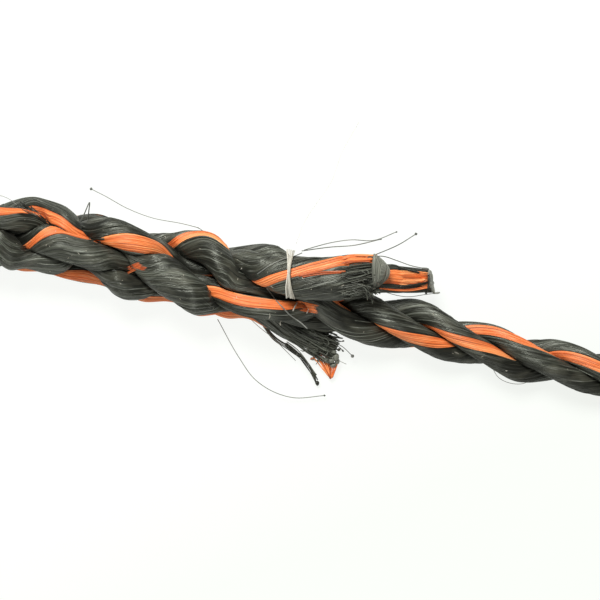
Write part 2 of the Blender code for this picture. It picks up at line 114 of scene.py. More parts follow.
class Tuck(NamedTuple):
    """A section of a tucked strand: its centre, half sizes, lean, orange yarn and slant."""
    station: float
    across: float
    up: float
    half_width: float
    half_depth: float
    lean: float
    facing: float
    marker_half: float
    skew_across: float = 0.0
    skew_up: float = 0.0


class Point(NamedTuple):
    """A point on a loose yarn or on the pale thread, with its half width there."""
    station: float
    across: float
    up: float
    half_width: float


class Stray(NamedTuple):
    """A long fibre that stands off the rope, with a melted bead on one of its points."""
    half_width: float
    tone: float
    bead: float        # half width of the bead
    tip: int           # the point that the bead is on, counted as in a list
    points: tuple[tuple[float, float, float], ...]


class Fray(NamedTuple):
    """How the end of a tucked strand has come apart."""
    reach: float       # length over which its filaments part
    core: float        # size of what still holds together at the end
    wander: float      # how far the filaments stray by their tips
    uneven: float      # difference between their lengths
    curled: float      # share of them with a curled tip
    bend: float        # angle that a curl turns through
    sideways: float    # lean of the curls across the rope
    # tone of the charcoal filaments; the third tail's is raised as painted light, against the
    # rope's shadow that falls on it
    bright: float


class ShadePatch(NamedTuple):
    """A patch of the rope darkened with painted shade."""
    station: float
    across: float
    half_length: float
    half_width: float
    strength: float


class Bundle(NamedTuple):
    """A flat bundle of short filaments that lies on the rope."""
    strand: int
    start: tuple[float, float]
    end: tuple[float, float]
    width: float
    count: int
    tone: float
    raised: float = 0.0


class Hair(NamedTuple):
    """A single filament that lies on the rope or stands out from it."""
    strand: int        # the strand it belongs to, counted through the standing and the tucked ones
    half_width: float
    tone: float
    bead: float        # half width of the melted bead at its tip
    draped: bool       # whether the heights are above the rope rather than above the floor
    points: tuple[tuple[float, float, float], ...]


def rows(kind: type, *values: tuple) -> tuple:
    """Rows of a table, all of one kind."""
    return tuple(kind(*value) for value in values)


AXIS = rows(
    Axis,
    (-6, 1.9, 7.3), (10, 2.3, 7.3), (22, 2.1, 7.3), (31, 1.5, 7.3), (45, 1.8, 7.3),
    (52, 2.1, 7.4), (60, 2.4, 7.5), (68, 1.7, 7.3), (76, 1.0, 6.8), (86, 0.6, 5.9),
    (95, 0.7, 5.1), (103, 0.2, 4.7), (111, 0.2, 4.55), (119, -0.5, 4.55),
    (128, 0.0, 4.55), (143, -0.3, 4.55),
)
LAY = rows(
    Lay,
    (-6, -345), (7.5, -240), (15.5, -180), (23.3, -120), (31.5, -60), (40.5, 0),
    (49, 60), (58.5, 120), (67.5, 180), (77.5, 240), (86.5, 300), (95, 360),
    (111, 480), (127, 600), (143, 721),
)
SPREAD = rows(
    Spread,
    (-6, 4.6, 4.5, 3.4, 20), (52, 4.6, 4.5, 3.4, 20), (60, 4.6, 4.2, 3.5, 22),
    (70, 3.9, 3.4, 3.1, 25), (80, 3.3, 2.9, 2.8, 28), (90, 3.0, 2.7, 2.65, 30),
    (98, 2.8, 2.55, 2.5, 30), (106, 2.6, 2.42, 2.42, 30), (143, 2.6, 2.42, 2.42, 30),
)
BULGES = rows(
    Bulge,
    (0, 2, 7, 0.0, 58), (2, -1, 5, 0.7, 0), (1, -3, 4, -0.7, -8), (1, 6, 5, 0.6, 0),
    (1, 11.5, 3, -0.7, 0), (1, 32, 7, 0.7, -6), (2, 34, 6, 0.3, 10),
    (0, 40, 3, -0.5, 0), (0, 46, 6, 1.3, -8), (2, 47, 7, 0.7, -14),
    (2, 53, 6, 0.3, -16), (0, 55, 6, 0.6, 0), (1, 60, 7, 1.5, 0),
    (1, 74, 4, 0.4, -4), (0, 95, 8, 0.8, 0), (0, 119, 6, 0.4, 0),
)
STANDING_PHASE = (0.0, -120.0, -240.0)
STANDING_FACING = (
    rows(Facing, (-6, 290), (10, 240), (24, 170), (35, 98), (38, 72), (41, 50),
     (45, 18), (49, -8), (70, -80), (88, -120), (97, -182),
     (107, -266), (116, -340), (143, -520)),
    rows(Facing, (-6, 135), (2, 108), (5.5, 86), (10, 88), (12, 86), (15, 78),
     (18, 62), (30, -10), (55, -190), (66, -296), (73, -338),
     (78, -353), (84, -400), (92, -490),
     (105, -640), (113, -664), (122, -716), (143, -880)),
    rows(Facing, (-6, 430), (12, 350), (31, 340), (40, 268), (50, 188),
     (56, 150), (70, -20), (85.5, -167), (94.5, -243), (104, -326),
     (126, -602), (131, -622), (137, -644), (143, -680)),
)
TUCKED = (
    rows(Tuck,   # over 1, under 2, over 3, under 1, over 2, then tail 1
        (-6, 3.8, 13.2, 2.8, 2.3, 80, 52, 34),
        (0, 4.5, 13.1, 2.8, 2.3, 76, 46, 26),
        (5, 5.1, 11.7, 2.5, 2.2, 70, 22, 18),
        (8, 5.0, 10.2, 2.3, 2.1, 64, 22, 18),
        (11, 4.2, 9.0, 2.3, 2.1, 60, 56, 20),
        (15, 4.3, 8.3, 2.4, 2.1, 60, 116, 24),
        (18.5, 5.8, 9.9, 2.8, 2.2, 68, 166, 26),
        (21.5, 6.6, 11.7, 3.1, 2.3, 72, 156, 30),
        (25, 6.7, 12.5, 3.3, 2.5, 74, 128, 36),
        (28.5, 6.2, 12.8, 3.1, 2.6, 72, 106, 46),
        (32, 5.6, 12.4, 2.7, 2.5, 68, 90, 46),
        (35.5, 5.0, 10.6, 2.3, 2.2, 62, 78, 36),
        (38.5, 3.9, 8.2, 2.2, 2.1, 60, 92, 18),
        (42, 3.2, 7.2, 2.2, 2.1, 60, 132, 14),
        (45, 3.6, 7.2, 2.3, 2.1, 60, 156, 18),
        (48, 4.6, 8.0, 2.4, 2.2, 60, 172, 26),
        (51, 6.0, 9.8, 2.7, 2.3, 62, 192, 30),
        (54, 6.5, 12.2, 3.0, 2.5, 70, 200, 30),
        (57, 6.1, 14.2, 3.3, 2.6, 78, 186, 28),
        (59, 5.8, 15.1, 3.4, 2.6, 82, 150, 28),
        (61, 5.7, 15.7, 3.7, 2.6, 85, 118, 26),
        (64, 5.9, 16.4, 4.3, 2.6, 88, 86, 25),
        (66, 6.0, 16.7, 4.6, 2.6, 90, 66, 23),
        (70, 6.5, 17.0, 4.8, 2.6, 90, 40, 20),
        (74, 7.4, 17.0, 4.8, 2.6, 90, 28, 18, -0.15, -0.15),
        (78, 8.7, 16.9, 4.8, 2.6, 90, 22, 18, -0.28, -0.35),
        (81, 9.8, 16.7, 4.4, 2.5, 90, 22, 18, -0.32, -0.5),
        (83.6, 10.8, 16.5, 3.7, 2.4, 90, 22, 18, -0.32, -0.5),
    ),
    rows(Tuck,   # under 1, over 2, under 3, over 1, under 2, then tail 2
        (-6, 0.9, 8.2, 2.2, 2.1, 95, 250, 34),
        (0, 0.9, 8.2, 2.2, 2.1, 95, 225, 34),
        (4, 0.9, 8.7, 2.3, 2.1, 95, 190, 34),
        (6.3, 1.2, 10.9, 2.7, 2.2, 95, 140, 30),
        (8.5, 1.9, 12.8, 3.2, 2.4, 95, 82, 28),
        (12, 2.0, 13.5, 3.5, 2.6, 95, 28, 26),
        (18, 1.3, 13.6, 3.3, 2.6, 96, 6, 23),
        (22, 0.9, 13.4, 3.0, 2.5, 97, -25, 28),
        (25, 0.8, 12.5, 2.6, 2.3, 98, -60, 30),
        (28.5, 0.6, 9.8, 2.3, 2.1, 100, -95, 32),
        (34, 0.2, 8.0, 2.2, 2.1, 102, -138, 34),
        (41, 0.0, 8.0, 2.2, 2.1, 106, -190, 34),
        (46, -0.3, 8.8, 2.3, 2.1, 108, -236, 34),
        (49.5, -1.0, 10.6, 2.3, 2.2, 108, -268, 34),
        (53, -2.0, 12.2, 2.4, 2.3, 108, -284, 36),
        (57, -2.4, 12.9, 2.4, 2.3, 108, -294, 36),
        (61, -2.2, 12.9, 2.4, 2.3, 108, -300, 34),
        (66, -1.7, 12.1, 2.4, 2.2, 104, -308, 32),
        (70, -0.5, 9.9, 2.4, 2.2, 98, -320, 30),
        (73, 1.2, 7.7, 2.2, 2.0, 84, -300, 30),
        (76, 3.4, 8.0, 2.2, 1.9, 70, -262, 32),
        (79, 5.9, 10.1, 2.4, 2.0, 70, -266, 34),
        (82, 8.3, 10.9, 2.7, 2.0, 78, -282, 36),
        (86, 10.1, 10.3, 2.9, 2.2, 84, -282, 40, -0.1, 0),
        (90, 10.7, 9.2, 2.8, 2.2, 88, -280, 44, -0.25, -0.1),
        (95.3, 11.7, 7.4, 2.4, 2.1, 88, -280, 44, -0.4, -0.25),
    ),
    rows(Tuck,   # along the lower side, then tail 3
        (-6, -2.2, 4.2, 2.4, 2.2, 190, 165, 32),
        (0, -2.4, 4.2, 2.4, 2.2, 190, 165, 32),
        (6, -3.5, 4.8, 2.5, 2.3, 190, 155, 34),
        (11, -2.7, 4.7, 2.3, 2.2, 188, 150, 36),
        (16, -3.2, 6.2, 2.4, 2.2, 186, 138, 40),
        (20, -3.0, 7.2, 2.6, 2.3, 185, 126, 46),
        (24, -2.8, 6.2, 2.4, 2.2, 188, 138, 40),
        (29, -3.4, 4.6, 2.4, 2.2, 190, 152, 34),
        (34, -4.3, 4.7, 2.5, 2.3, 190, 150, 38),
        (40, -3.0, 4.6, 2.4, 2.2, 190, 158, 32),
        (47, -3.2, 4.4, 2.4, 2.2, 190, 160, 32),
        (53, -3.9, 4.9, 2.5, 2.3, 190, 148, 38),
        (57, -2.9, 5.6, 2.5, 2.3, 186, 158, 34),
        (62, -3.9, 5.4, 2.7, 2.3, 150, 202, 30),
        (66, -4.9, 4.3, 2.8, 2.3, 120, 222, 26, 0.1, 0),
        (70, -5.9, 3.3, 3.0, 2.2, 100, 228, 24, 0.15, 0),
        (74, -7.0, 2.5, 3.2, 2.0, 92, 224, 22, 0.2, 0),
        (78.2, -8.1, 1.9, 3.5, 1.6, 90, 214, 22, 0.2, -0.1),
    ),
)
LOOSE_YARNS = (
    rows(Point, (61, -5.9, 2.6, 0.30), (64.5, -8.6, 1.2, 0.35), (68, -9.9, 0.8, 0.40),
     (71.5, -11.4, 0.7, 0.45), (74, -13.8, 0.7, 0.55), (75.7, -15.9, 0.8, 0.70)),
    rows(Point, (67, -8.9, 1.8, 0.30), (70, -10.4, 2.5, 0.30), (73, -12.6, 2.7, 0.35),
     (75.2, -14.6, 2.8, 0.35)),
    rows(Point, (72, -10.7, 1.3, 0.40), (74.5, -11.5, 1.3, 0.80), (77, -12.9, 1.2, 0.90),
     (78.7, -14.4, 1.2, 0.45)),
)
STRAY_FIBRES = rows(
    Stray,
    (0.09, 0.55, 0.22, -1, ((51, -6.9, 4.6), (57.5, -14.2, 4.0), (62, -18.2, 3.0),
                            (66.5, -20.0, 2.0), (71, -20.4, 1.2), (78, -18.4, 1.0))),
    (0.08, 0.60, 0.30, 0, ((17.5, 15.2, 12.0), (21, 14.3, 12.5), (26, 12.8, 12.0), (32, 11.9, 11.0),
                           (39, 12.1, 10.0), (42.6, 12.0, 9.0))),
    (0.11, 0.40, 0.20, -1, ((66, 11.9, 15.0), (72, 14.1, 16.0), (77, 15.6, 17.0),
                            (82.5, 18.2, 17.5))),
    (0.10, 0.45, 0.18, -1, ((66.5, 12.2, 15.6), (69.0, 13.6, 16.4), (72, 15.1, 17.2),
                            (76, 16.6, 18.0), (81, 17.6, 18.6), (85.5, 20.5, 19.0))),
    (0.11, 0.30, 0.30, -1, ((81.6, 14.3, 17.0), (83.5, 15.6, 16.5), (86.5, 17.8, 17.5),
                            (89.8, 21.0, 18.0))),
)
PALE_THREAD = rows(
    Point,
    (63.6, 11.6, 17.0, 0.80), (63.9, 9.2, 19.1, 0.55), (64.3, 6.5, 20.0, 0.50),
    (64.9, 3.6, 19.6, 0.75), (65.9, 1.1, 17.8, 0.80),
)
PALE_HAIR = ((64.5, 13.2, 16.8), (65.1, 17.7, 15.2), (67.1, 23.3, 12.0), (69.0, 28.0, 8.6),
             (70.0, 35.3, 3.6), (72.2, 42.9, 0.4))
FRAYS = rows(
    Fray,
    (8.5, 0.72, 0.15, 1.3, 0.55, 80, -3.0, 0.44),
    (8, 0.80, 0.12, 0.9, 0.05, 60, 0.0, 0.42),
    # brighter filaments: painted light against the rope's shadow on this tail
    (12, 0.56, 0.70, 2.2, 0.42, 170, -0.2, 0.70),
)
HAIRS = (
    Hair(3, 0.11, 0.50, 0.0, True, ((57.6, 4.8, 0.1), (59.7, 7.1, 0.15), (62.5, 9.3, 0.15),
                                    (64.8, 10.5, 0.2), (66.2, 11.5, 0.4))),
    Hair(4, 0.10, 0.30, 0.26, False, ((80.5, 13.6, 18.4), (83.5, 14.6, 16.6), (87.0, 14.4, 14.0),
                                      (90.5, 14.0, 12.4), (94.4, 14.1, 11.6))),
    Hair(4, 0.07, 0.55, 0.24, False, ((83.5, 7.6, 9.0), (87.0, 7.0, 8.2), (91.0, 7.1, 7.6),
                                      (95.0, 8.5, 7.2), (98.0, 9.6, 7.0))),
    Hair(5, 0.08, 0.45, 0.42, False, ((77.5, -6.3, 3.4), (79.6, -6.9, 3.4), (81.0, -7.7, 3.0),
                                      (82.4, -8.6, 2.4))),
    Hair(5, 0.07, 0.95, 0.0, False, ((77.5, -9.2, 2.4), (79.2, -10.0, 2.2), (81.2, -10.5, 1.8))),
    Hair(5, 0.09, 0.25, 0.20, False, ((77.2, -5.6, 3.6), (78.6, -5.9, 4.2), (79.6, -5.5, 4.4))),
    Hair(5, 0.09, 0.25, 0.22, False, ((77.0, -6.5, 3.8), (78.8, -7.1, 4.0), (80.0, -7.9, 3.6))),
    Hair(1, 0.13, 0.50, 0.0, True, ((60.3, 2.2, 0.12), (62.9, 0.0, 0.15), (64.9, -1.4, 0.15),
                                    (66.4, -2.4, 0.15), (69.4, -3.7, 0.12), (71.0, -4.6, 0.1))),
    Hair(3, 0.13, 0.22, 0.16, True, ((16.7, 7.4, 0.1), (17.2, 9.4, 0.5), (17.8, 12.2, 0.4),
                                     (18.0, 10.4, 0.5), (18.2, 8.0, 0.1))),
    Hair(0, 0.08, 0.55, 0.0, False, ((41.6, 12.08, 9.2), (43.0, 11.8, 9.0), (44.6, 10.9, 8.6))),
    Hair(0, 0.06, 0.80, 0.0, False, ((-5.0, 8.8, 12.0), (-2.4, 9.4, 12.4), (0.2, 9.1, 12.3),
                                     (2.2, 8.2, 11.8))),
    Hair(5, 0.07, 0.70, 0.0, False, ((57.0, -4.6, 4.4), (60.0, -6.4, 3.4), (64.0, -8.4, 2.2),
                                     (67.5, -10.6, 1.4), (70.0, -12.2, 0.9))),
    Hair(0, 0.06, 0.60, 0.0, False, ((113.0, -4.0, 2.0), (115.0, -6.0, 1.2), (118.0, -6.7, 0.6),
                                     (121.0, -6.0, 1.0), (122.5, -4.4, 2.0))),
)
ORANGE_BUNDLES = rows(
    Bundle,
    (1, (67.4, 0.05), (72.3, 0.1), 2.0, 9, 0.50),
    (1, (29.1, -0.8), (32.2, 1.5), 1.4, 7, 0.26),
    (1, (31.2, 0.2), (33.7, 0.7), 0.8, 5, 0.03),
)
DARK_BUNDLES = rows(
    Bundle,
    (3, (2.4, 8.5), (6.4, 7.2), 1.2, 7, 0.0, 0.24),
    (3, (4.9, 8.1), (10.2, 5.5), 1.1, 6, 0.08, 0.22),
)
# Painted shade: patches that darken the strands' upper sides where shadow falls, in the splice's
# crevices and along the plain rope's lower side.
SHADE_PATCHES = rows(
    ShadePatch,
    (113.0, -5.6, 34.0, 4.2, 0.62),
    (19.0, 6.5, 3.0, 1.8, 1.0),
    (30.9, -2.6, 3.4, 1.3, 0.9),
    (42.0, 3.6, 4.4, 1.5, 0.9),
    (53.4, 4.2, 3.0, 1.2, 0.7),
    (76.0, -1.4, 4.2, 1.6, 0.8),
    (81.5, 0.2, 4.0, 1.8, 0.6),
    (56.4, 3.0, 2.0, 1.6, 0.7),
    (4.2, 7.0, 2.6, 0.9, 0.8),
    (4.0, 1.4, 3.4, 1.2, 0.7),
    (70.6, 4.4, 6.5, 2.0, 0.75),
    (68.4, -3.3, 5.5, 1.5, 0.7),
)
ORANGE_SCRAPS = (
    Hair(3, 0.20, 0.02, 0.0, True, ((66.6, 6.3, -0.05), (70.0, 7.8, 0.04), (73.4, 8.8, 0.05),
                                    (76.4, 9.6, 0.0))),
    Hair(3, 0.17, 0.10, 0.0, True, ((67.4, 6.3, -0.05), (70.4, 7.5, 0.04), (73.6, 8.5, 0.05),
                                    (75.6, 9.1, 0.0))),
    Hair(4, 0.24, 0.45, 0.0, True, ((84.6, 7.7, -0.1), (87.5, 7.9, 0.0), (91.5, 8.7, 0.04),
                                    (95.2, 10.2, 0.0))),
    Hair(4, 0.18, 0.30, 0.0, True, ((85.6, 7.9, -0.1), (88.5, 8.2, 0.0), (92.0, 9.1, 0.04),
                                    (95.2, 10.5, 0.0))),
)
DARK_SCRAPS = (
    Hair(3, 0.26, 0.30, 0.0, True, ((19.4, 3.3, -0.2), (20.9, 3.5, -0.02), (22.7, 3.7, -0.2))),
    Hair(3, 0.30, 0.15, 0.0, True, ((19.3, 3.8, -0.2), (20.8, 4.1, -0.02), (22.2, 4.3, -0.25))),
    Hair(3, 0.28, 0.35, 0.0, True, ((19.5, 4.2, -0.2), (21.1, 4.7, -0.02), (22.9, 5.0, -0.25))),
    Hair(3, 0.28, 0.10, 0.0, True, ((19.8, 4.6, -0.2), (21.3, 5.2, -0.02), (22.7, 5.6, -0.25))),
    Hair(3, 0.26, 0.30, 0.0, True, ((20.3, 5.0, -0.2), (21.9, 5.8, -0.02), (23.7, 6.2, -0.25))),
    Hair(4, 0.20, 0.05, 0.0, True, ((88.0, 8.6, -0.1), (91.0, 9.4, 0.06), (94.6, 10.9, 0.02))),
    Hair(4, 0.22, 0.10, 0.0, True, ((88.8, 8.9, -0.1), (91.6, 9.9, 0.06), (94.8, 11.2, 0.02))),
    Hair(4, 0.20, 0.25, 0.22, True, ((84.5, 12.8, 0.1), (86.5, 13.3, 0.2), (89.0, 13.0, 0.1),
                                     (92.5, 12.9, 0.05))),
    Hair(4, 0.24, 0.12, 0.0, True, ((94.7, 12.9, 0.05), (95.0, 11.4, 0.1), (95.1, 9.9, 0.1),
                                    (95.0, 8.6, 0.05))),
)
PALE_TICKS = (
    Hair(3, 0.15, 0.60, 0.0, True, ((67.6, 0.8, 0.02), (67.2, -0.4, 0.06), (67.0, -1.5, 0.02))),
    Hair(3, 0.14, 0.60, 0.0, True, ((70.3, -0.2, 0.0), (70.2, -0.8, 0.04), (70.1, -1.3, 0.0))),
    Hair(3, 0.10, 0.50, 0.0, True, ((62.2, -4.3, 0.0), (62.3, -3.7, 0.08), (62.1, -3.2, 0.0))),
    Hair(3, 0.10, 0.50, 0.0, True, ((65.0, -5.2, 0.0), (64.8, -4.6, 0.08), (64.9, -4.1, 0.0))),
)


# --- smooth curves and sections -----------------------------------------------------------------

def smooth_curve(knots: np.ndarray, values: np.ndarray, slopes: np.ndarray,
                 places: np.ndarray) -> np.ndarray:
    """Values on a cubic curve through the knots.

    Args:
        knots: Rising places of the knots.
        values: A value or a row of values at each.
        slopes: The curve's slopes there.
        places: Where to read the curve.

    Returns:
        A value or a row of values per place.
    """
    k = np.clip(np.searchsorted(knots, places, side="right") - 1, 0, len(knots) - 2)
    upright = (-1, *([1] * (values.ndim - 1)))
    width = (knots[k + 1] - knots[k]).reshape(upright)
    t = (places - knots[k]).reshape(upright) / width
    return ((1 + 2 * t) * (1 - t) ** 2 * values[k] + t * (1 - t) ** 2 * width * slopes[k]
            + t * t * (3 - 2 * t) * values[k + 1] + t * t * (t - 1) * width * slopes[k + 1])


def column(table: Sequence[NamedTuple], stations: np.ndarray, name: str) -> np.ndarray:
    """Values of one column along a smooth curve through the rows, level where the column turns.

    Args:
        table: Table rows with a station each.
        stations: Stations to read the curve at.
        name: The column.

    Returns:
        One value per station.
    """
    knots = np.array([row.station for row in table], float)
    values = np.array([getattr(row, name) for row in table], float)
    slopes = np.gradient(values, knots)
    steps = np.diff(values)
    slopes[1:-1][steps[:-1] * steps[1:] <= 0] = 0.0
    return smooth_curve(knots, values, slopes, np.clip(stations, knots[0], knots[-1]))


def lengths_along(path: np.ndarray) -> np.ndarray:
    """Length of a path up to each of its points."""
    return np.concatenate([[0.0], np.cumsum(np.linalg.norm(np.diff(path, axis=0), axis=1))])


def fibre_route(points: Sequence[tuple], spans: int) -> np.ndarray:
    """Smooth route through a fibre's points.

    Args:
        points: Place of each point, and further values that run along with it.
        spans: Steps between two points.

    Returns:
        One row per step, with as many values as a point has.
    """
    values = np.array(points, float)
    knots = lengths_along(values[:, :3])
    places = np.linspace(0.0, knots[-1], spans * (len(values) - 1) + 1)
    return smooth_curve(knots, values, np.gradient(values, knots, axis=0), places)


class Role(Enum):
    """The two kinds of strand in the rope."""
    STANDING = "standing"
    TUCKED = "tucked"


@dataclass
class Sections:
    """Sections of one strand at a row of stations, before its neighbours press on it."""
    centre: np.ndarray
    half_width: np.ndarray
    half_depth: np.ndarray
    lean: np.ndarray
    facing: np.ndarray
    marker_half: np.ndarray
    skew: np.ndarray
    present: np.ndarray

    def oval(self, angle: np.ndarray) -> np.ndarray:
        """Distance from the centre to the free oval.

        Args:
            angle: A direction or a row of directions per station.

        Returns:
            Distances of the same shape.
        """
        lean, depth, width = (values.reshape(-1, *([1] * (angle.ndim - 1)))
                              for values in (self.lean, self.half_depth, self.half_width))
        return 1.0 / np.hypot(np.cos(angle - lean) / depth, np.sin(angle - lean) / width)


@dataclass(frozen=True)
class RopeLay:
    """The lay of all six strands, read from the tables."""
    tucked: tuple = TUCKED
    standing_facing: tuple = STANDING_FACING
    eased_columns: tuple = ("centre", "half_width", "half_depth", "lean", "facing", "marker_half",
                            "skew")

    def tucked_sections(self, index: int, stations: np.ndarray) -> Sections:
        """Sections of one tucked strand.

        Args:
            index: The strand.
            stations: Stations of the sections.

        Returns:
            The sections, absent past the strand's end.
        """
        table = self.tucked[index]
        value = {name: column(table, stations, name) for name in Tuck._fields[1:]}
        return Sections(np.stack([value["across"], value["up"]], axis=1), value["half_width"],
                        value["half_depth"], np.radians(value["lean"]), np.radians(value["facing"]),
                        np.radians(value["marker_half"]),
                        np.stack([value["skew_across"], value["skew_up"]], axis=1),
                        stations <= table[-1].station)

    def push_from_tucks(self, turn: np.ndarray, stations: np.ndarray,
                        axis: np.ndarray) -> np.ndarray:
        """How far a standing strand gives way outwards where tucked strands cross it.

        Args:
            turn: The standing strand's turn about the centre line.
            stations: Stations to read it at.
            axis: Centre line of the rope there.

        Returns:
            One distance per station.
        """
        push = np.zeros(len(stations))
        for index in range(len(self.tucked)):
            crossing = self.tucked_sections(index, stations)
            offset = crossing.centre - axis
            away = np.hypot(offset[:, 0], offset[:, 1])
            apart = (turn - np.arctan2(offset[:, 1], offset[:, 0]) + math.pi) % math.tau - math.pi
            near = np.exp(-(apart / math.radians(CROSSING_ANGLE)) ** 2)
            touching = np.clip(np.minimum((FREE_TAIL - away) / 2, away / CENTRE_EASE), 0.0, 1.0)
            push -= np.where(crossing.present, near * touching * CROSSING_PUSH
                             * np.clip(away - CROSSING_RADIUS, -PUSH_LIMIT, PUSH_LIMIT), 0.0)
        return push

    def standing_sections(self, index: int, stations: np.ndarray) -> Sections:
        """Sections of one standing strand, on its helix about the rope's centre line.

        Args:
            index: The strand.
            stations: Stations of the sections.

        Returns:
            The sections.
        """
        axis = np.stack([column(AXIS, stations, "across"), column(AXIS, stations, "up")], axis=1)
        turn = column(LAY, stations, "turn") + STANDING_PHASE[index]
        radius = column(SPREAD, stations, "radius")
        for bulge in BULGES:
            if bulge.strand == index:
                amount = np.exp(-((stations - bulge.station) / bulge.length) ** 2)
                radius = radius + bulge.outward * amount
                turn = turn + bulge.turn * amount
        turn = np.radians(turn)
        radius = radius + self.push_from_tucks(turn, stations, axis)
        centre = axis + radius[:, None] * np.stack([np.cos(turn), np.sin(turn)], axis=1)
        return Sections(centre, column(SPREAD, stations, "half_width"),
                        column(SPREAD, stations, "half_depth"), turn,
                        np.radians(column(self.standing_facing[index], stations, "angle")),
                        np.radians(column(SPREAD, stations, "marker_half")),
                        np.zeros((len(stations), 2)), np.ones(len(stations), bool))

    def all_sections(self, stations: np.ndarray) -> dict[tuple[Role, int], Sections]:
        """Sections of all six strands, each eased over its neighbours along the strand.

        Args:
            stations: Stations of the sections.

        Returns:
            The sections by role and index.
        """
        weights = np.exp(-EASE_STEPS ** 2) / np.exp(-EASE_STEPS ** 2).sum()
        found = {}
        for make, role, count in ((self.standing_sections, Role.STANDING, len(STANDING_PHASE)),
                                  (self.tucked_sections, Role.TUCKED, len(self.tucked))):
            for index in range(count):
                near = [make(index, stations + EASE * step) for step in EASE_STEPS]
                eased = {name: sum(weight * getattr(section, name)
                                   for weight, section in zip(weights, near))
                         for name in self.eased_columns}
                found[role, index] = Sections(present=make(index, stations).present, **eased)
        return found

    def pressed_radius(self, key: tuple[Role, int], everyone: dict[tuple[Role, int], Sections],
                       angle: np.ndarray) -> np.ndarray:
        """Distance from a strand's centre to its surface, pressed by neighbours and by the floor.

        Args:
            key: The strand.
            everyone: Sections of all strands at the same stations.
            angle: Directions, one row per station.

        Returns:
            Distances of the same shape as angle.
        """
        own = everyone[key]
        inverse = own.oval(angle) ** -ROUNDING
        for other_key, other in everyone.items():
            if other_key == key:
                continue
            offset = other.centre - own.centre
            towards = np.arctan2(offset[:, 1], offset[:, 0])
            reach = own.oval(towards)
            share = reach / (reach + other.oval(towards + math.pi))
            share = np.clip(share, LEAST_SHARE, 1 - LEAST_SHARE)
            apart = np.hypot(offset[:, 0], offset[:, 1])
            distance = np.maximum(apart * share - CREVICE / 2, LEAST_RADIUS)
            closeness = np.maximum(np.cos(angle - towards[:, None]) / distance[:, None], 0.0)
            inverse = inverse + np.where(other.present[:, None], closeness ** ROUNDING, 0.0)
        radius = inverse ** (-1.0 / ROUNDING)
        falling = np.sin(angle) < -TINY
        floor = own.centre[:, 1:2] / np.maximum(-np.sin(angle), TINY)
        return np.where(falling, np.minimum(radius, floor), radius)


def upper_side(lay: RopeLay, stations: np.ndarray, across: np.ndarray) -> np.ndarray:
    """Height of the rope's upper side at places along and across it.

    Args:
        lay: The lay of the strands.
        stations: Stations of the places.
        across: How far across the rope each lies.

    Returns:
        One height per place, 0 beside the rope.
    """
    everyone = lay.all_sections(stations)
    angle = np.tile(np.radians(np.arange(0.0, 360.0, MEASURED_STEP)), (len(stations), 1))
    height = np.zeros(len(stations))
    for key, own in everyone.items():
        radius = lay.pressed_radius(key, everyone, angle)
        y = own.centre[:, :1] + radius * np.cos(angle) - across[:, None]
        z = own.centre[:, 1:] + radius * np.sin(angle)
        next_y, next_z = np.roll(y, -1, axis=1), np.roll(z, -1, axis=1)
        share = y / np.where(np.abs(y - next_y) < 1e-9, 1e-9, y - next_y)
        met = np.where(y * next_y <= 0, z + (next_z - z) * share, 0.0).max(axis=1)
        height = np.maximum(height, np.where(own.present, met, 0.0))
    return height


def rope_origin() -> np.ndarray:
    """Place of the part's origin in rope coordinates, from two of the solids' boxes.

    Returns:
        Its station, its place across the rope and its height.
    """
    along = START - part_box("standing_strand_1")[0][0] / MM
    across = FIBRE_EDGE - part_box("stray_fibre_1")[0][1] / MM
    return np.array([along, across, 0.0])


ORIGIN = rope_origin()


def to_metres(points: np.ndarray) -> np.ndarray:
    """Points in rope millimetres as metres in the part's frame."""
    return (np.asarray(points, float) - ORIGIN) * MM


# --- finishes -----------------------------------------------------------------------------------

class Look(NamedTuple):
    """A finish once it is made, with the material slot that it stands for."""
    material: bpy.types.Material
    slot: str


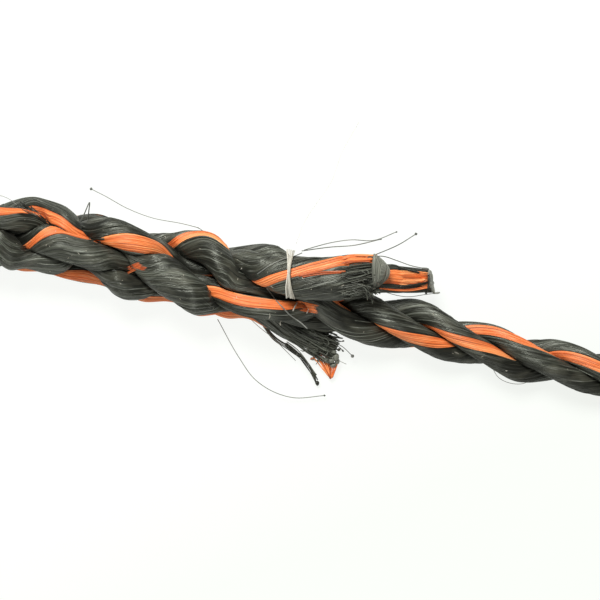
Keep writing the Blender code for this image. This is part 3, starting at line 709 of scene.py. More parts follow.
class Shader:
    """A Principled material under construction, with short calls for its nodes."""

    def __init__(self, name: str) -> None:
        """Start a material with a Principled shader.

        Args:
            name: Name of the material.
        """
        self.material = bpy.data.materials.new(name)
        self.material.use_nodes = True
        self.tree = self.material.node_tree
        self.principled = self.tree.nodes["Principled BSDF"]

    def node(self, kind: str, **settings: object) -> bpy.types.Node:
        """Add a node.

        Args:
            kind: Its type.
            settings: Its properties.

        Returns:
            The node.
        """
        made = self.tree.nodes.new(kind)
        for name, value in settings.items():
            setattr(made, name, value)
        return made

    def feed(self, source: bpy.types.NodeSocket | float | tuple,
             target: bpy.types.NodeSocket) -> None:
        """Link a socket to an input, or set a constant value on it.

        Args:
            source: The socket or the value.
            target: The input.
        """
        if isinstance(source, bpy.types.NodeSocket):
            self.tree.links.new(source, target)
        else:
            target.default_value = source

    def attribute(self, name: str) -> bpy.types.Node:
        """Read one of the piece's own attributes."""
        return self.node("ShaderNodeAttribute", attribute_name=name)

    def streaks(self, lay: bpy.types.Node, cells: tuple[float, float],
                detail: float) -> bpy.types.NodeSocket:
        """Noise drawn out along the filaments.

        Args:
            lay: Attribute node with the place along and around the strand, in metres.
            cells: Cells per metre along the strand and around it.
            detail: Detail of the noise.

        Returns:
            The noise's value.
        """
        mapping = self.node("ShaderNodeMapping")
        self.feed((*cells, 1.0), mapping.inputs["Scale"])
        self.feed(lay.outputs["Vector"], mapping.inputs["Vector"])
        noise = self.node("ShaderNodeTexNoise", noise_dimensions="3D")
        self.feed(1.0, noise.inputs["Scale"])
        self.feed(detail, noise.inputs["Detail"])
        self.feed(mapping.outputs["Vector"], noise.inputs["Vector"])
        return noise.outputs["Fac"]

    def calculate(self, operation: str, *inputs: bpy.types.NodeSocket | float,
                  clamp: bool = False) -> bpy.types.NodeSocket:
        """Add a Math node.

        Args:
            operation: What it does.
            inputs: What it works on.
            clamp: Whether its result is kept from 0 to 1.

        Returns:
            The result.
        """
        made = self.node("ShaderNodeMath", operation=operation, use_clamp=clamp)
        for source, target in zip(inputs, made.inputs):
            self.feed(source, target)
        return made.outputs[0]

    def mix(self, first: bpy.types.NodeSocket, second: tuple[float, float, float],
            share: bpy.types.NodeSocket) -> bpy.types.NodeSocket:
        """Mix a colour into another.

        Args:
            first: The first colour.
            second: The colour that comes in.
            share: How much of it.

        Returns:
            The mixed colour.
        """
        mixed = self.node("ShaderNodeMix", data_type="RGBA")
        for source, target in ((share, 0), (first, 6), ((*second, 1.0), 7)):
            self.feed(source, mixed.inputs[target])
        return mixed.outputs[2]

    def ramp(self, value: bpy.types.NodeSocket,
             stops: Sequence[tuple[float, tuple]]) -> bpy.types.NodeSocket:
        """Colour ramp.

        Args:
            value: Where on the ramp the colour is read.
            stops: Place and colour of each stop.

        Returns:
            The colour.
        """
        made = self.node("ShaderNodeValToRGB")
        elements = made.color_ramp.elements
        while len(elements) < len(stops):
            elements.new(0.5)
        for element, (place, colour) in zip(elements, stops):
            element.position = place
            element.color = (*colour, 1.0)
        self.feed(value, made.inputs["Fac"])
        return made.outputs["Color"]


@dataclass(frozen=True)
class YarnFinish:
    """Parallel plastic filaments, with streaks, dust, painted glints and a soft gloss."""
    name: str
    dark: tuple[float, float, float]
    middle: tuple[float, float, float]
    light: tuple[float, float, float]
    dust: tuple[float, float, float]
    slot: str = ""                # material slot, the finish's own name where none is given
    dust_share: float = 0.35
    # share of the painted glints' colour where they are strongest
    glint_share: float = 0.7
    roughness: float = 0.5
    smoother: float = 0.14        # how far the streaks change the roughness, down and up
    rougher: float = 0.16
    sheen: float = 0.15
    sheen_roughness: float = 0.6
    bump: float = 0.5
    relief: float = 0.00012       # height of the finest streaks in metres
    gloss: tuple[float, float, float] = (1.0, 1.0, 0.82)
    # colour of the painted glints, short highlights along the filaments
    glint: tuple[float, float, float] = (0.4, 0.4, 0.36)
    broad: tuple[float, float] = (90.0, 1900.0)       # cells per metre along and around
    fine: tuple[float, float] = (260.0, 7000.0)
    dusty: tuple[float, float] = (160.0, 330.0)
    # cells per metre along and around of the painted glints
    glint_streaks: tuple[float, float] = (210.0, 2700.0)

    def make(self) -> Look:
        """Make the material.

        Returns:
            The material with its slot.
        """
        shader, black = Shader(self.name), (0.0, 0.0, 0.0)
        lay, tone = shader.attribute("lay"), shader.attribute("tone").outputs["Fac"]
        fine = shader.streaks(lay, self.fine, 3.0)
        value = shader.calculate("MULTIPLY_ADD", shader.streaks(lay, self.broad, 2.0), 0.9, tone)
        colour = shader.ramp(shader.calculate("SUBTRACT", value, 0.45),
                             ((0.15, self.dark), (0.5, self.middle), (0.9, self.light)))
        dusty = shader.ramp(shader.streaks(lay, self.dusty, 3.0),
                            ((0.48, black), (0.75, (self.dust_share,) * 3)))
        colour = shader.mix(colour, self.dust, dusty)
        # painted highlights: short glints along the filaments, stronger where the tone is brighter
        glinting = shader.ramp(shader.streaks(lay, self.glint_streaks, 2.0),
                              ((0.57, black), (0.72, (self.glint_share,) * 3)))
        colour = shader.mix(colour, self.glint,
                            shader.calculate("MULTIPLY", glinting, tone, clamp=True))
        rough = shader.node("ShaderNodeMapRange")
        bump = shader.node("ShaderNodeBump")
        surface = shader.principled.inputs
        for source, target in (
                (fine, rough.inputs["Value"]),
                (self.roughness - self.smoother, rough.inputs["To Min"]),
                (self.roughness + self.rougher, rough.inputs["To Max"]),
                (self.bump, bump.inputs["Strength"]), (self.relief, bump.inputs["Distance"]),
                (fine, bump.inputs["Height"]), (colour, surface["Base Color"]),
                (rough.outputs["Result"], surface["Roughness"]),
                (bump.outputs["Normal"], surface["Normal"]), (self.sheen, surface["Sheen Weight"]),
                (self.sheen_roughness, surface["Sheen Roughness"]),
                ((*self.gloss, 1.0), surface["Specular Tint"]),
                ((*self.gloss, 1.0), surface["Sheen Tint"])):
            shader.feed(source, target)
        return Look(shader.material, self.slot or self.name)


CHARCOAL = YarnFinish("charcoal_yarn", dark=(0.0032, 0.0031, 0.0018),
                      middle=(0.0150, 0.0157, 0.0100), light=(0.106, 0.114, 0.090),
                      dust=(0.15, 0.145, 0.105), roughness=0.36, sheen=0.04,
                      glint=(0.29, 0.30, 0.265), gloss=(0.96, 1.0, 0.86))
ORANGE = YarnFinish("orange_yarn", dark=(0.36, 0.058, 0.010), middle=(0.78, 0.155, 0.026),
                    light=(0.94, 0.37, 0.13), dust=(0.66, 0.36, 0.16), dust_share=0.22, sheen=0.05,
                    roughness=0.46, glint=(1.0, 0.58, 0.26))
GREY_FIBRE = YarnFinish("grey_fibre", dark=(0.05, 0.055, 0.05), middle=(0.16, 0.165, 0.15),
                        light=(0.34, 0.34, 0.31), dust=(0.4, 0.4, 0.36), roughness=0.4)
PALE_FIBRE = YarnFinish("pale_fibre", dark=(0.24, 0.22, 0.17), middle=(0.44, 0.41, 0.34),
                        light=(0.72, 0.69, 0.60), dust=(0.6, 0.58, 0.50), roughness=0.45,
                        glint=(0.8, 0.78, 0.7))
FUSED = YarnFinish("fused_end", dark=(0.035, 0.037, 0.03), middle=(0.145, 0.153, 0.124),
                   light=(0.31, 0.32, 0.26), dust=(0.4, 0.39, 0.33), slot="charcoal_yarn",
                   roughness=0.42)


# --- meshes -------------------------------------------------------------------------------------

def draws(seed: int) -> np.random.Generator:
    """Random draws that come out the same in each run."""
    return np.random.default_rng(seed)


def paired(along: np.ndarray, around: np.ndarray) -> np.ndarray:
    """Place along and around a strand at each point, spread over the same grid."""
    return np.stack(np.broadcast_arrays(along, around), axis=-1)


@dataclass
class Threads:
    """Mesh data gathered for one piece: points, faces and the two attributes."""
    points: list[np.ndarray] = field(default_factory=list)
    faces: list[tuple] = field(default_factory=list)
    tones: list[np.ndarray] = field(default_factory=list)
    lays: list[np.ndarray] = field(default_factory=list)
    count: int = 0
    above_floor: float = 0.02     # least height of a filament's lower side

    def loft(self, rings: np.ndarray, tone: np.ndarray, lay: np.ndarray) -> None:
        """Close a row of equal rings into one tube.

        Args:
            rings: Points, (rings, points, 3), counterclockwise seen from the tube's end.
            tone: Brightness, (rings, points).
            lay: Place along and around the strand in millimetres, (rings, points, 2).
        """
        size = rings.shape[0] * rings.shape[1]
        index = self.count + np.arange(size).reshape(rings.shape[:2])
        following = np.roll(index, -1, axis=1)
        quads = np.stack([index[:-1], following[:-1], following[1:], index[1:]], axis=-1)
        self.faces += [tuple(quad) for quad in quads.reshape(-1, 4).tolist()]
        near, far = self.count + size, self.count + size + 1
        self.faces += [(near, b, a) for a, b in zip(index[0].tolist(), following[0].tolist())]
        self.faces += [(far, a, b) for a, b in zip(index[-1].tolist(), following[-1].tolist())]
        for values, kept, width in ((rings, self.points, (3,)), (tone, self.tones, ()),
                                    (lay, self.lays, (2,))):
            middles = np.stack([values[0].mean(axis=0), values[-1].mean(axis=0)])
            kept += [values.reshape(-1, *width), middles]
        self.count += size + 2

    def tube(self, path: np.ndarray, half: float | np.ndarray, tone: float | np.ndarray,
             sides: int = 5, flatness: float = 1.0) -> None:
        """Add one round or flattened filament along a path.

        Args:
            path: Points in rope millimetres, (points, 3).
            half: Half width of the filament, or its half width at each point.
            tone: Brightness of the filament, or its brightness at each point.
            sides: Sides of its section.
            flatness: Thickness over width.
        """
        path, half = path.copy(), np.broadcast_to(np.asarray(half, float), len(path))
        path[:, 2] = np.maximum(path[:, 2], half * flatness + self.above_floor)
        tangent = np.gradient(path, axis=0)
        tangent /= np.linalg.norm(tangent, axis=1, keepdims=True) + 1e-12
        side = np.cross(np.array([0.0, 0.0, 1.0]), tangent)
        lengths = np.linalg.norm(side, axis=1, keepdims=True)
        side = np.where(lengths > 0.05, side / np.maximum(lengths, 1e-9), np.array([0.0, 1.0, 0.0]))
        normal = np.cross(tangent, side)
        turn = math.tau * np.arange(sides) / sides
        rings = (path[:, None] + half[:, None, None]
                 * (np.cos(turn)[None, :, None] * side[:, None]
                    + flatness * np.sin(turn)[None, :, None] * normal[:, None]))
        along = lengths_along(path)
        tone = np.broadcast_to(np.asarray(tone, float).reshape(-1, 1), rings.shape[:2])
        apart = tone[0, 0]        # moves the streaks on, so that no two filaments have the same
        self.loft(rings, tone, paired(along[:, None] + 37.0 * apart,
                                      half[:, None] * turn[None, :] + 11.0 * apart))

    def lump(self, centre: Sequence[float], size: Sequence[float], rng: np.random.Generator,
             tone: float) -> None:
        """Add a small uneven lump of melted filaments.

        Args:
            centre: Its middle in rope millimetres.
            size: Its half sizes along, across and up.
            rng: Source of its unevenness.
            tone: Its brightness.
        """
        tilt = np.linspace(0.12, 0.88, 7)[:, None] * math.pi
        turn = math.tau * np.arange(10)[None] / 10
        first, second, third = (rng.uniform(0, 6) for _ in range(3))
        uneven = (1.0 + 0.16 * np.sin(2 * turn + first) * np.sin(2 * tilt + second)
                  + 0.10 * np.sin(3 * turn + third + 2 * tilt))
        ball = np.stack([-np.cos(tilt) * uneven, np.sin(tilt) * np.cos(turn) * uneven,
                         np.sin(tilt) * np.sin(turn) * uneven], axis=-1)
        rings = np.asarray(centre) + ball * np.asarray(size)
        rings[..., 2] = np.maximum(rings[..., 2], self.above_floor)
        self.loft(rings, np.full(rings.shape[:2], tone),
                  paired(tilt * size[0] + 50 * tone, turn * size[1]))

    def piece(self, name: str, look: Look, node: str = "") -> bpy.types.Object:
        """Make the gathered mesh into one smooth piece that rides on the part.

        Args:
            name: Name of the piece.
            look: Its finish.
            node: The solid that it stands for, if any.

        Returns:
            The new object, with its place in its mesh.
        """
        mesh = bpy.data.meshes.new(name)
        mesh.from_pydata(to_metres(np.concatenate(self.points)).tolist(), [], self.faces)
        tone = mesh.attributes.new("tone", "FLOAT", "POINT")
        tone.data.foreach_set("value", np.concatenate(self.tones).astype(np.float32))
        lays = np.concatenate(self.lays) * MM
        lays = np.hstack([lays, np.zeros((len(lays), 1))]).astype(np.float32)
        mesh.attributes.new("lay", "FLOAT_VECTOR", "POINT").data.foreach_set("vector", lays.ravel())
        mesh.polygons.foreach_set("use_smooth", np.ones(len(mesh.polygons), bool))
        mesh.materials.append(look.material)
        mesh.update()
        made = bpy.data.objects.new(name, mesh)
        bpy.context.scene.collection.objects.link(made)
        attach(made, "root")
        if node:
            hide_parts(node)
        log.info("%s: %d triangles", name, sum(len(face) - 2 for face in self.faces))
        return made


@dataclass
class Filaments:
    """Ridges of the filaments round a strand: the place, height and brightness of each."""
    count: int
    per_ridge: int
    seed: int
    height: float = 0.11          # height of one filament's ridge
    group_height: float = 0.07    # unevenness over several filaments
    lifted_height: float = 0.16   # height that some filaments rise by, and over what length
    lifted_length: float = 5.0
    lifted_share: float = 0.25
    groups: int = 7
    flatness: float = 0.1         # of a ridge's round section
    sway: float = 0.13            # change of a filament's brightness along its length
    valley_shade: float = 0.42           # painted shade: how much darker a ridge's edges, in the valleys between filaments, are than its top

    def __post_init__(self) -> None:
        """Draw the filaments' widths, waves and tones."""
        rng = draws(self.seed)
        widths = rng.uniform(0.65, 1.4, self.count)
        edges = np.concatenate([[0.0], np.cumsum(widths)]) / widths.sum()
        local = np.arange(self.per_ridge) / self.per_ridge
        self.place = (edges[:-1, None] + np.diff(edges)[:, None] * local[None]).ravel()
        x, foot = 2 * local - 1, math.sqrt(self.flatness)
        ridge = np.sqrt(1 - (1 - self.flatness) * x * x)
        self.scallop = np.tile((ridge - foot) / (1 - foot), self.count)
        self.owner = np.repeat(np.arange(self.count), self.per_ridge)
        self.wave = rng.uniform(9.0, 34.0, self.count)
        self.phase = rng.uniform(0.0, math.tau, self.count)
        self.lift = rng.choice([0.0, 1.0], self.count, p=[1 - self.lifted_share, self.lifted_share])
        self.lift_at = rng.uniform(START, END, self.count)
        self.tone = np.clip(rng.normal(0.42, 0.17, self.count), 0.0, 1.0)
        self.tone_wave = rng.uniform(14.0, 60.0, self.count)
        self.tone_phase = rng.uniform(0.0, math.tau, self.count)
        turns = rng.integers(3, 3 + self.count // 4, self.groups)
        waves = rng.choice([-1, 1], self.groups) * rng.uniform(25.0, 90.0, self.groups)
        self.bands = list(zip(turns, waves, rng.uniform(0.0, math.tau, self.groups)))

    def relief(self, stations: np.ndarray) -> np.ndarray:
        """Height above the pressed section.

        Args:
            stations: Stations to read it at.

        Returns:
            Heights, (stations, points).
        """
        s, own = stations[:, None], self.owner[None]
        height = self.height * (0.8 + 0.5 * np.sin(math.tau * s / self.wave[own] + self.phase[own]))
        height = height + self.lifted_height * self.lift[own] \
            * np.exp(-((s - self.lift_at[own]) / self.lifted_length) ** 2)
        uneven = sum(np.sin(math.tau * (turns * self.place[None] + s / wave) + phase)
                     for turns, wave, phase in self.bands)
        return height * self.scallop[None] + self.group_height * uneven / math.sqrt(len(self.bands))

    def tones(self, stations: np.ndarray) -> np.ndarray:
        """Brightness of the filaments, with painted shade in the valleys between them.

        Args:
            stations: Stations to read it at.

        Returns:
            Tones, (stations, points).
        """
        s, own = stations[:, None], self.owner[None]
        slow = self.sway * np.sin(math.tau * s / self.tone_wave[own] + self.tone_phase[own])
        return self.tone[own] + slow + self.valley_shade * (self.scallop[None] - 0.6)


class Outline(NamedTuple):
    """Points round the sections of a strand, and how long the outline is at each station."""
    turns: np.ndarray
    radii: np.ndarray
    length: np.ndarray


@dataclass
class Strand:
    """One strand of the rope: its charcoal filaments and the orange yarn set into them."""
    role: Role
    index: int
    lay: RopeLay
    step: float = 0.55            # spacing of the rings
    rounded: float = 0.55         # length of the rounding at each end
    filaments: int = 56
    marker_filaments: int = 16
    per_ridge: int = 3
    groove: float = 0.60          # depth of the place that holds the orange yarn
    groove_points: int = 7
    groove_tone: float = 0.15
    marker_depth: float = 0.52
    marker_points: int = 5
    marker_proud: float = 0.04
    marker_gap: float = 0.02      # angle left free at each edge of the orange yarn
    marker_brighter: float = 0.05
    marker_inside_tone: float = 0.3
    shade_on_body: float = 0.8     # how much darker full painted shade makes the filaments
    shade_on_marker: float = 0.4
    finely: int = 150             # directions that a section is measured in
    lifted: int = 44              # filaments that stand a little off the strand
    face_rings: int = 5           # rings of cut filaments across each end
    cut_unevenness: float = 0.035
    cut_tones: float = 0.16

    @property
    def key(self) -> tuple[Role, int]:
        """The strand's key among the sections."""
        return self.role, self.index

    @property
    def last(self) -> float:
        """Station where the strand ends."""
        return END if self.role is Role.STANDING else self.lay.tucked[self.index][-1].station

    @property
    def seed(self) -> int:
        """Seed of the strand's random draws."""
        return 10 * (1 + self.index) + (0 if self.role is Role.STANDING else 100)

    def stations(self, faces: int) -> tuple[np.ndarray, np.ndarray]:
        """Stations of the rings and the size of each, smaller at the rounded ends.

        Args:
            faces: Rings across each cut face.

        Returns:
            Stations and sizes.
        """
        ends = np.concatenate([np.zeros(faces), [0.0, 0.06, 0.16, 0.32]])
        sizes = np.concatenate([np.linspace(0.1, 0.74, faces), [0.86, 0.93, 0.975, 0.995]])
        inner = np.linspace(START + self.rounded, self.last - self.rounded,
                            round((self.last - START - 2 * self.rounded) / self.step) + 1)
        places = np.concatenate([START + ends, inner, self.last - ends[::-1]])
        scale = np.concatenate([sizes, np.ones(len(inner)), sizes[::-1]])
        if self.role is Role.TUCKED:
            fray = FRAYS[self.index]
            parted = np.clip((places - self.last + fray.reach) / (0.65 * fray.reach), 0.0, 1.0)
            scale = scale * (1 - (1 - fray.core) * parted ** 2 * (3 - 2 * parted))
        return places, scale

    def spaced(self, own: Sections, everyone: dict, low: np.ndarray, high: np.ndarray,
               shares: np.ndarray) -> Outline:
        """Points spread evenly along a section's outline between two directions.

        Args:
            own: The strand's sections.
            everyone: Sections of all strands.
            low: First direction at each station, relative to the orange yarn.
            high: Last direction at each station.
            shares: Places from 0 to 1 along the outline.

        Returns:
            The points and the outline's length.
        """
        grid = low[:, None] + (high - low)[:, None] * np.linspace(0.0, 1.0, self.finely)[None]
        angle = own.facing[:, None] + grid
        radius = self.lay.pressed_radius(self.key, everyone, angle)
        outline = np.stack([radius * np.cos(angle), radius * np.sin(angle)], axis=-1)
        steps = np.linalg.norm(np.diff(outline, axis=1), axis=-1)
        run = np.concatenate([np.zeros((len(low), 1)), np.cumsum(steps, axis=1)], axis=1)
        turns, radii = (np.array([np.interp(shares * along[-1], along, row)
                                  for along, row in zip(run, values)])
                        for values in (angle, radius))
        return Outline(turns, radii, run[:, -1])

    def place(self, stations: np.ndarray, own: Sections, turns: np.ndarray,
              radii: np.ndarray) -> np.ndarray:
        """Points of sections in rope millimetres, with the sections' slant.

        Args:
            stations: Stations of the sections.
            own: The strand's sections.
            turns: Directions, one row per station.
            radii: Distances from the centre.

        Returns:
            Points, none below the floor.
        """
        offset = radii[..., None] * np.stack([np.cos(turns), np.sin(turns)], axis=-1)
        across_up = own.centre[:, None] + offset
        along = stations[:, None] + np.einsum("nmk,nk->nm", offset, own.skew)
        return np.concatenate([along[..., None], across_up[..., :1],
                               np.maximum(across_up[..., 1:], 0.0)], axis=-1)

    def crevice_shade(self, own: Sections, outer: Outline) -> np.ndarray:
        """Painted shade from 0 to 1, deepest in the crevices where the strand is pressed against
        its neighbours.
        """
        return np.clip((1.0 - outer.radii / own.oval(outer.turns)) / 0.28, 0.0, 1.0)

    def patch_shade(self, stations: np.ndarray, own: Sections, outer: Outline) -> np.ndarray:
        """Painted shade in the table's patches, on the strand's upper side.

        Args:
            stations: Stations of the sections.
            own: The strand's sections.
            outer: Points round them.

        Returns:
            Painted shade from 0 to 1 at each point.
        """
        across = own.centre[:, :1] + outer.radii * np.cos(outer.turns)
        above = np.clip(0.5 + 2.0 * np.sin(outer.turns), 0.0, 1.0)
        darkening = np.zeros(across.shape)
        for patch in SHADE_PATCHES:
            away = (((stations[:, None] - patch.station) / patch.half_length) ** 2
                    + ((across - patch.across) / patch.half_width) ** 2)
            darkening = np.maximum(darkening, patch.strength * np.clip(1.35 - away, 0.0, 1.0))
        return darkening * above

    def wrapped(self, stations: np.ndarray, own: Sections, outer: Outline, inner: Outline,
                places: np.ndarray) -> tuple[np.ndarray, np.ndarray]:
        """Rings that run over the outer points and back along the inner ones.

        Args:
            stations: Stations of the rings.
            own: The strand's sections.
            outer: The outer points.
            inner: The inner points.
            places: Places of the outer points from 0 to 1 along the outline.

        Returns:
            The rings, and the place of each point along and around the strand.
        """
        rings = self.place(stations, own, np.hstack([outer.turns, inner.turns]),
                           np.hstack([outer.radii, inner.radii]))
        below = 1.0 + 0.02 * np.arange(inner.turns.shape[1])
        around = np.hstack([places, below])[None] * outer.length[:, None]
        return rings, paired(stations[:, None] + 200.0 * self.seed, around)

    def filament_threads(self) -> Threads:
        """The charcoal filaments, with a groove for the orange yarn.

        Returns:
            Their mesh data.
        """
        stations, scale = self.stations(self.face_rings)
        everyone = self.lay.all_sections(stations)
        own, size = everyone[self.key], scale[:, None]
        half = own.marker_half
        ridges = Filaments(self.filaments, self.per_ridge, self.seed)
        outer = self.spaced(own, everyone, half, math.tau - half, ridges.place)
        # painted shade: the crevices between pressed strands and the table's patches
        painted_shade = np.maximum(self.crevice_shade(own, outer), self.patch_shade(stations, own, outer))
        outer = outer._replace(radii=(outer.radii + ridges.relief(stations)) * size)
        inner = self.spaced(own, everyone, -half, half, np.linspace(0.0, 1.0, self.groove_points))
        floor = np.maximum(inner.radii - self.groove, 0.4 * inner.radii)
        inner = inner._replace(radii=floor * size)
        rings, lays = self.wrapped(stations, own, outer, inner, ridges.place)
        tones = np.hstack([ridges.tones(stations) - self.shade_on_body * painted_shade,
                           np.full(inner.turns.shape, self.groove_tone)])
        rng, faces = draws(self.seed + 3), self.face_rings
        for face in (slice(0, faces), slice(len(rings) - faces, len(rings))):
            cut = rng.normal(0.0, 1.0, (faces, self.filaments)).repeat(self.per_ridge, axis=1)
            rings[face, :cut.shape[1], 0] += self.cut_unevenness * cut
            tones[face, :cut.shape[1]] += self.cut_tones * cut
        threads = Threads()
        threads.loft(rings, tones, lays)
        self.lift_some(threads, rings, self.place(stations, own, outer.turns, outer.radii + 1.0))
        return threads

    def marker_threads(self) -> Threads:
        """The orange yarn that lies in the groove.

        Returns:
            Its mesh data.
        """
        stations, scale = self.stations(0)
        everyone = self.lay.all_sections(stations)
        own, size = everyone[self.key], scale[:, None]
        ridges = Filaments(self.marker_filaments, self.per_ridge, self.seed + 5, group_height=0.04)
        low, high = self.marker_gap - own.marker_half, own.marker_half - self.marker_gap
        outer = self.spaced(own, everyone, low, high, ridges.place)
        # painted shade in the crevices darkens the orange yarn too
        tones = (ridges.tones(stations) + self.marker_brighter
                 - self.shade_on_marker * self.crevice_shade(own, outer))
        shoulder = np.minimum(1.0, 6.0 * np.minimum(ridges.place, 1 - ridges.place) + 0.2)
        relief = ridges.relief(stations) * shoulder[None]
        outer = outer._replace(radii=(outer.radii + self.marker_proud + relief) * size)
        inner = self.spaced(own, everyone, low, high, np.linspace(1.0, 0.0, self.marker_points))
        below = np.maximum(inner.radii - self.marker_depth, 0.5 * inner.radii)
        inner = inner._replace(radii=below * size)
        rings, lays = self.wrapped(stations, own, outer, inner, ridges.place)
        inside = np.full(inner.turns.shape, self.marker_inside_tone)
        threads = Threads()
        threads.loft(rings, np.hstack([tones, inside]), lays)
        return threads

    def build(self, charcoal: Look, orange: Look) -> None:
        """Make the charcoal and the orange piece of the strand.

        Args:
            charcoal: Finish of the filaments.
            orange: Finish of the orange yarn.
        """
        kind, number = self.role.value, self.index + 1
        self.body = self.filament_threads().piece(f"{kind}_filaments_{number}", charcoal,
                                                  f"{kind}_strand_{number}")
        self.marker = self.marker_threads().piece(f"{kind}_orange_{number}", orange,
                                                  f"{kind}_marker_{number}")

    def lift_some(self, body: Threads, rings: np.ndarray, outside: np.ndarray) -> None:
        """Add the filaments that stand a little off the strand over part of its length.

        Args:
            body: Mesh data of the strand.
            rings: Its surface points.
            outside: The points a millimetre outside them.
        """
        rng, kernel = draws(self.seed + 7), np.ones(5) / 5
        for _ in range(self.lifted):
            count = int(rng.integers(12, 34))
            first = int(rng.integers(4, len(rings) - count - 4))
            ridge = int(rng.integers(self.filaments)) * self.per_ridge + 1
            share = np.linspace(0.0, 1.0, count)[:, None]
            drift = np.round(rng.uniform(-3, 3) * share[:, 0]).astype(int)
            ridge = np.clip(ridge + drift, 0, outside.shape[1] - 1)
            points = np.arange(first, first + count), ridge
            height = rng.uniform(0.04, 0.2) * np.sin(math.pi * share) ** 1.5 - 0.02
            path = rings[points] + (outside[points] - rings[points]) * height
            smooth = [np.convolve(values, kernel, "valid") for values in path.T]
            path[2:-2] = np.stack(smooth, axis=1)
            body.tube(path, rng.uniform(0.07, 0.12), rng.uniform(0.15, 0.9))

    def declare(self, with_pieces: Sequence[bpy.types.Object]) -> None:
        """Args:
            with_pieces: The other pieces that belong to it; not used.
        """
        stations = np.linspace(START, self.last, round((self.last - START) / 2) + 1)
        own = self.lay.all_sections(stations)[self.key]


# --- frayed tails -------------------------------------------------------------------------------

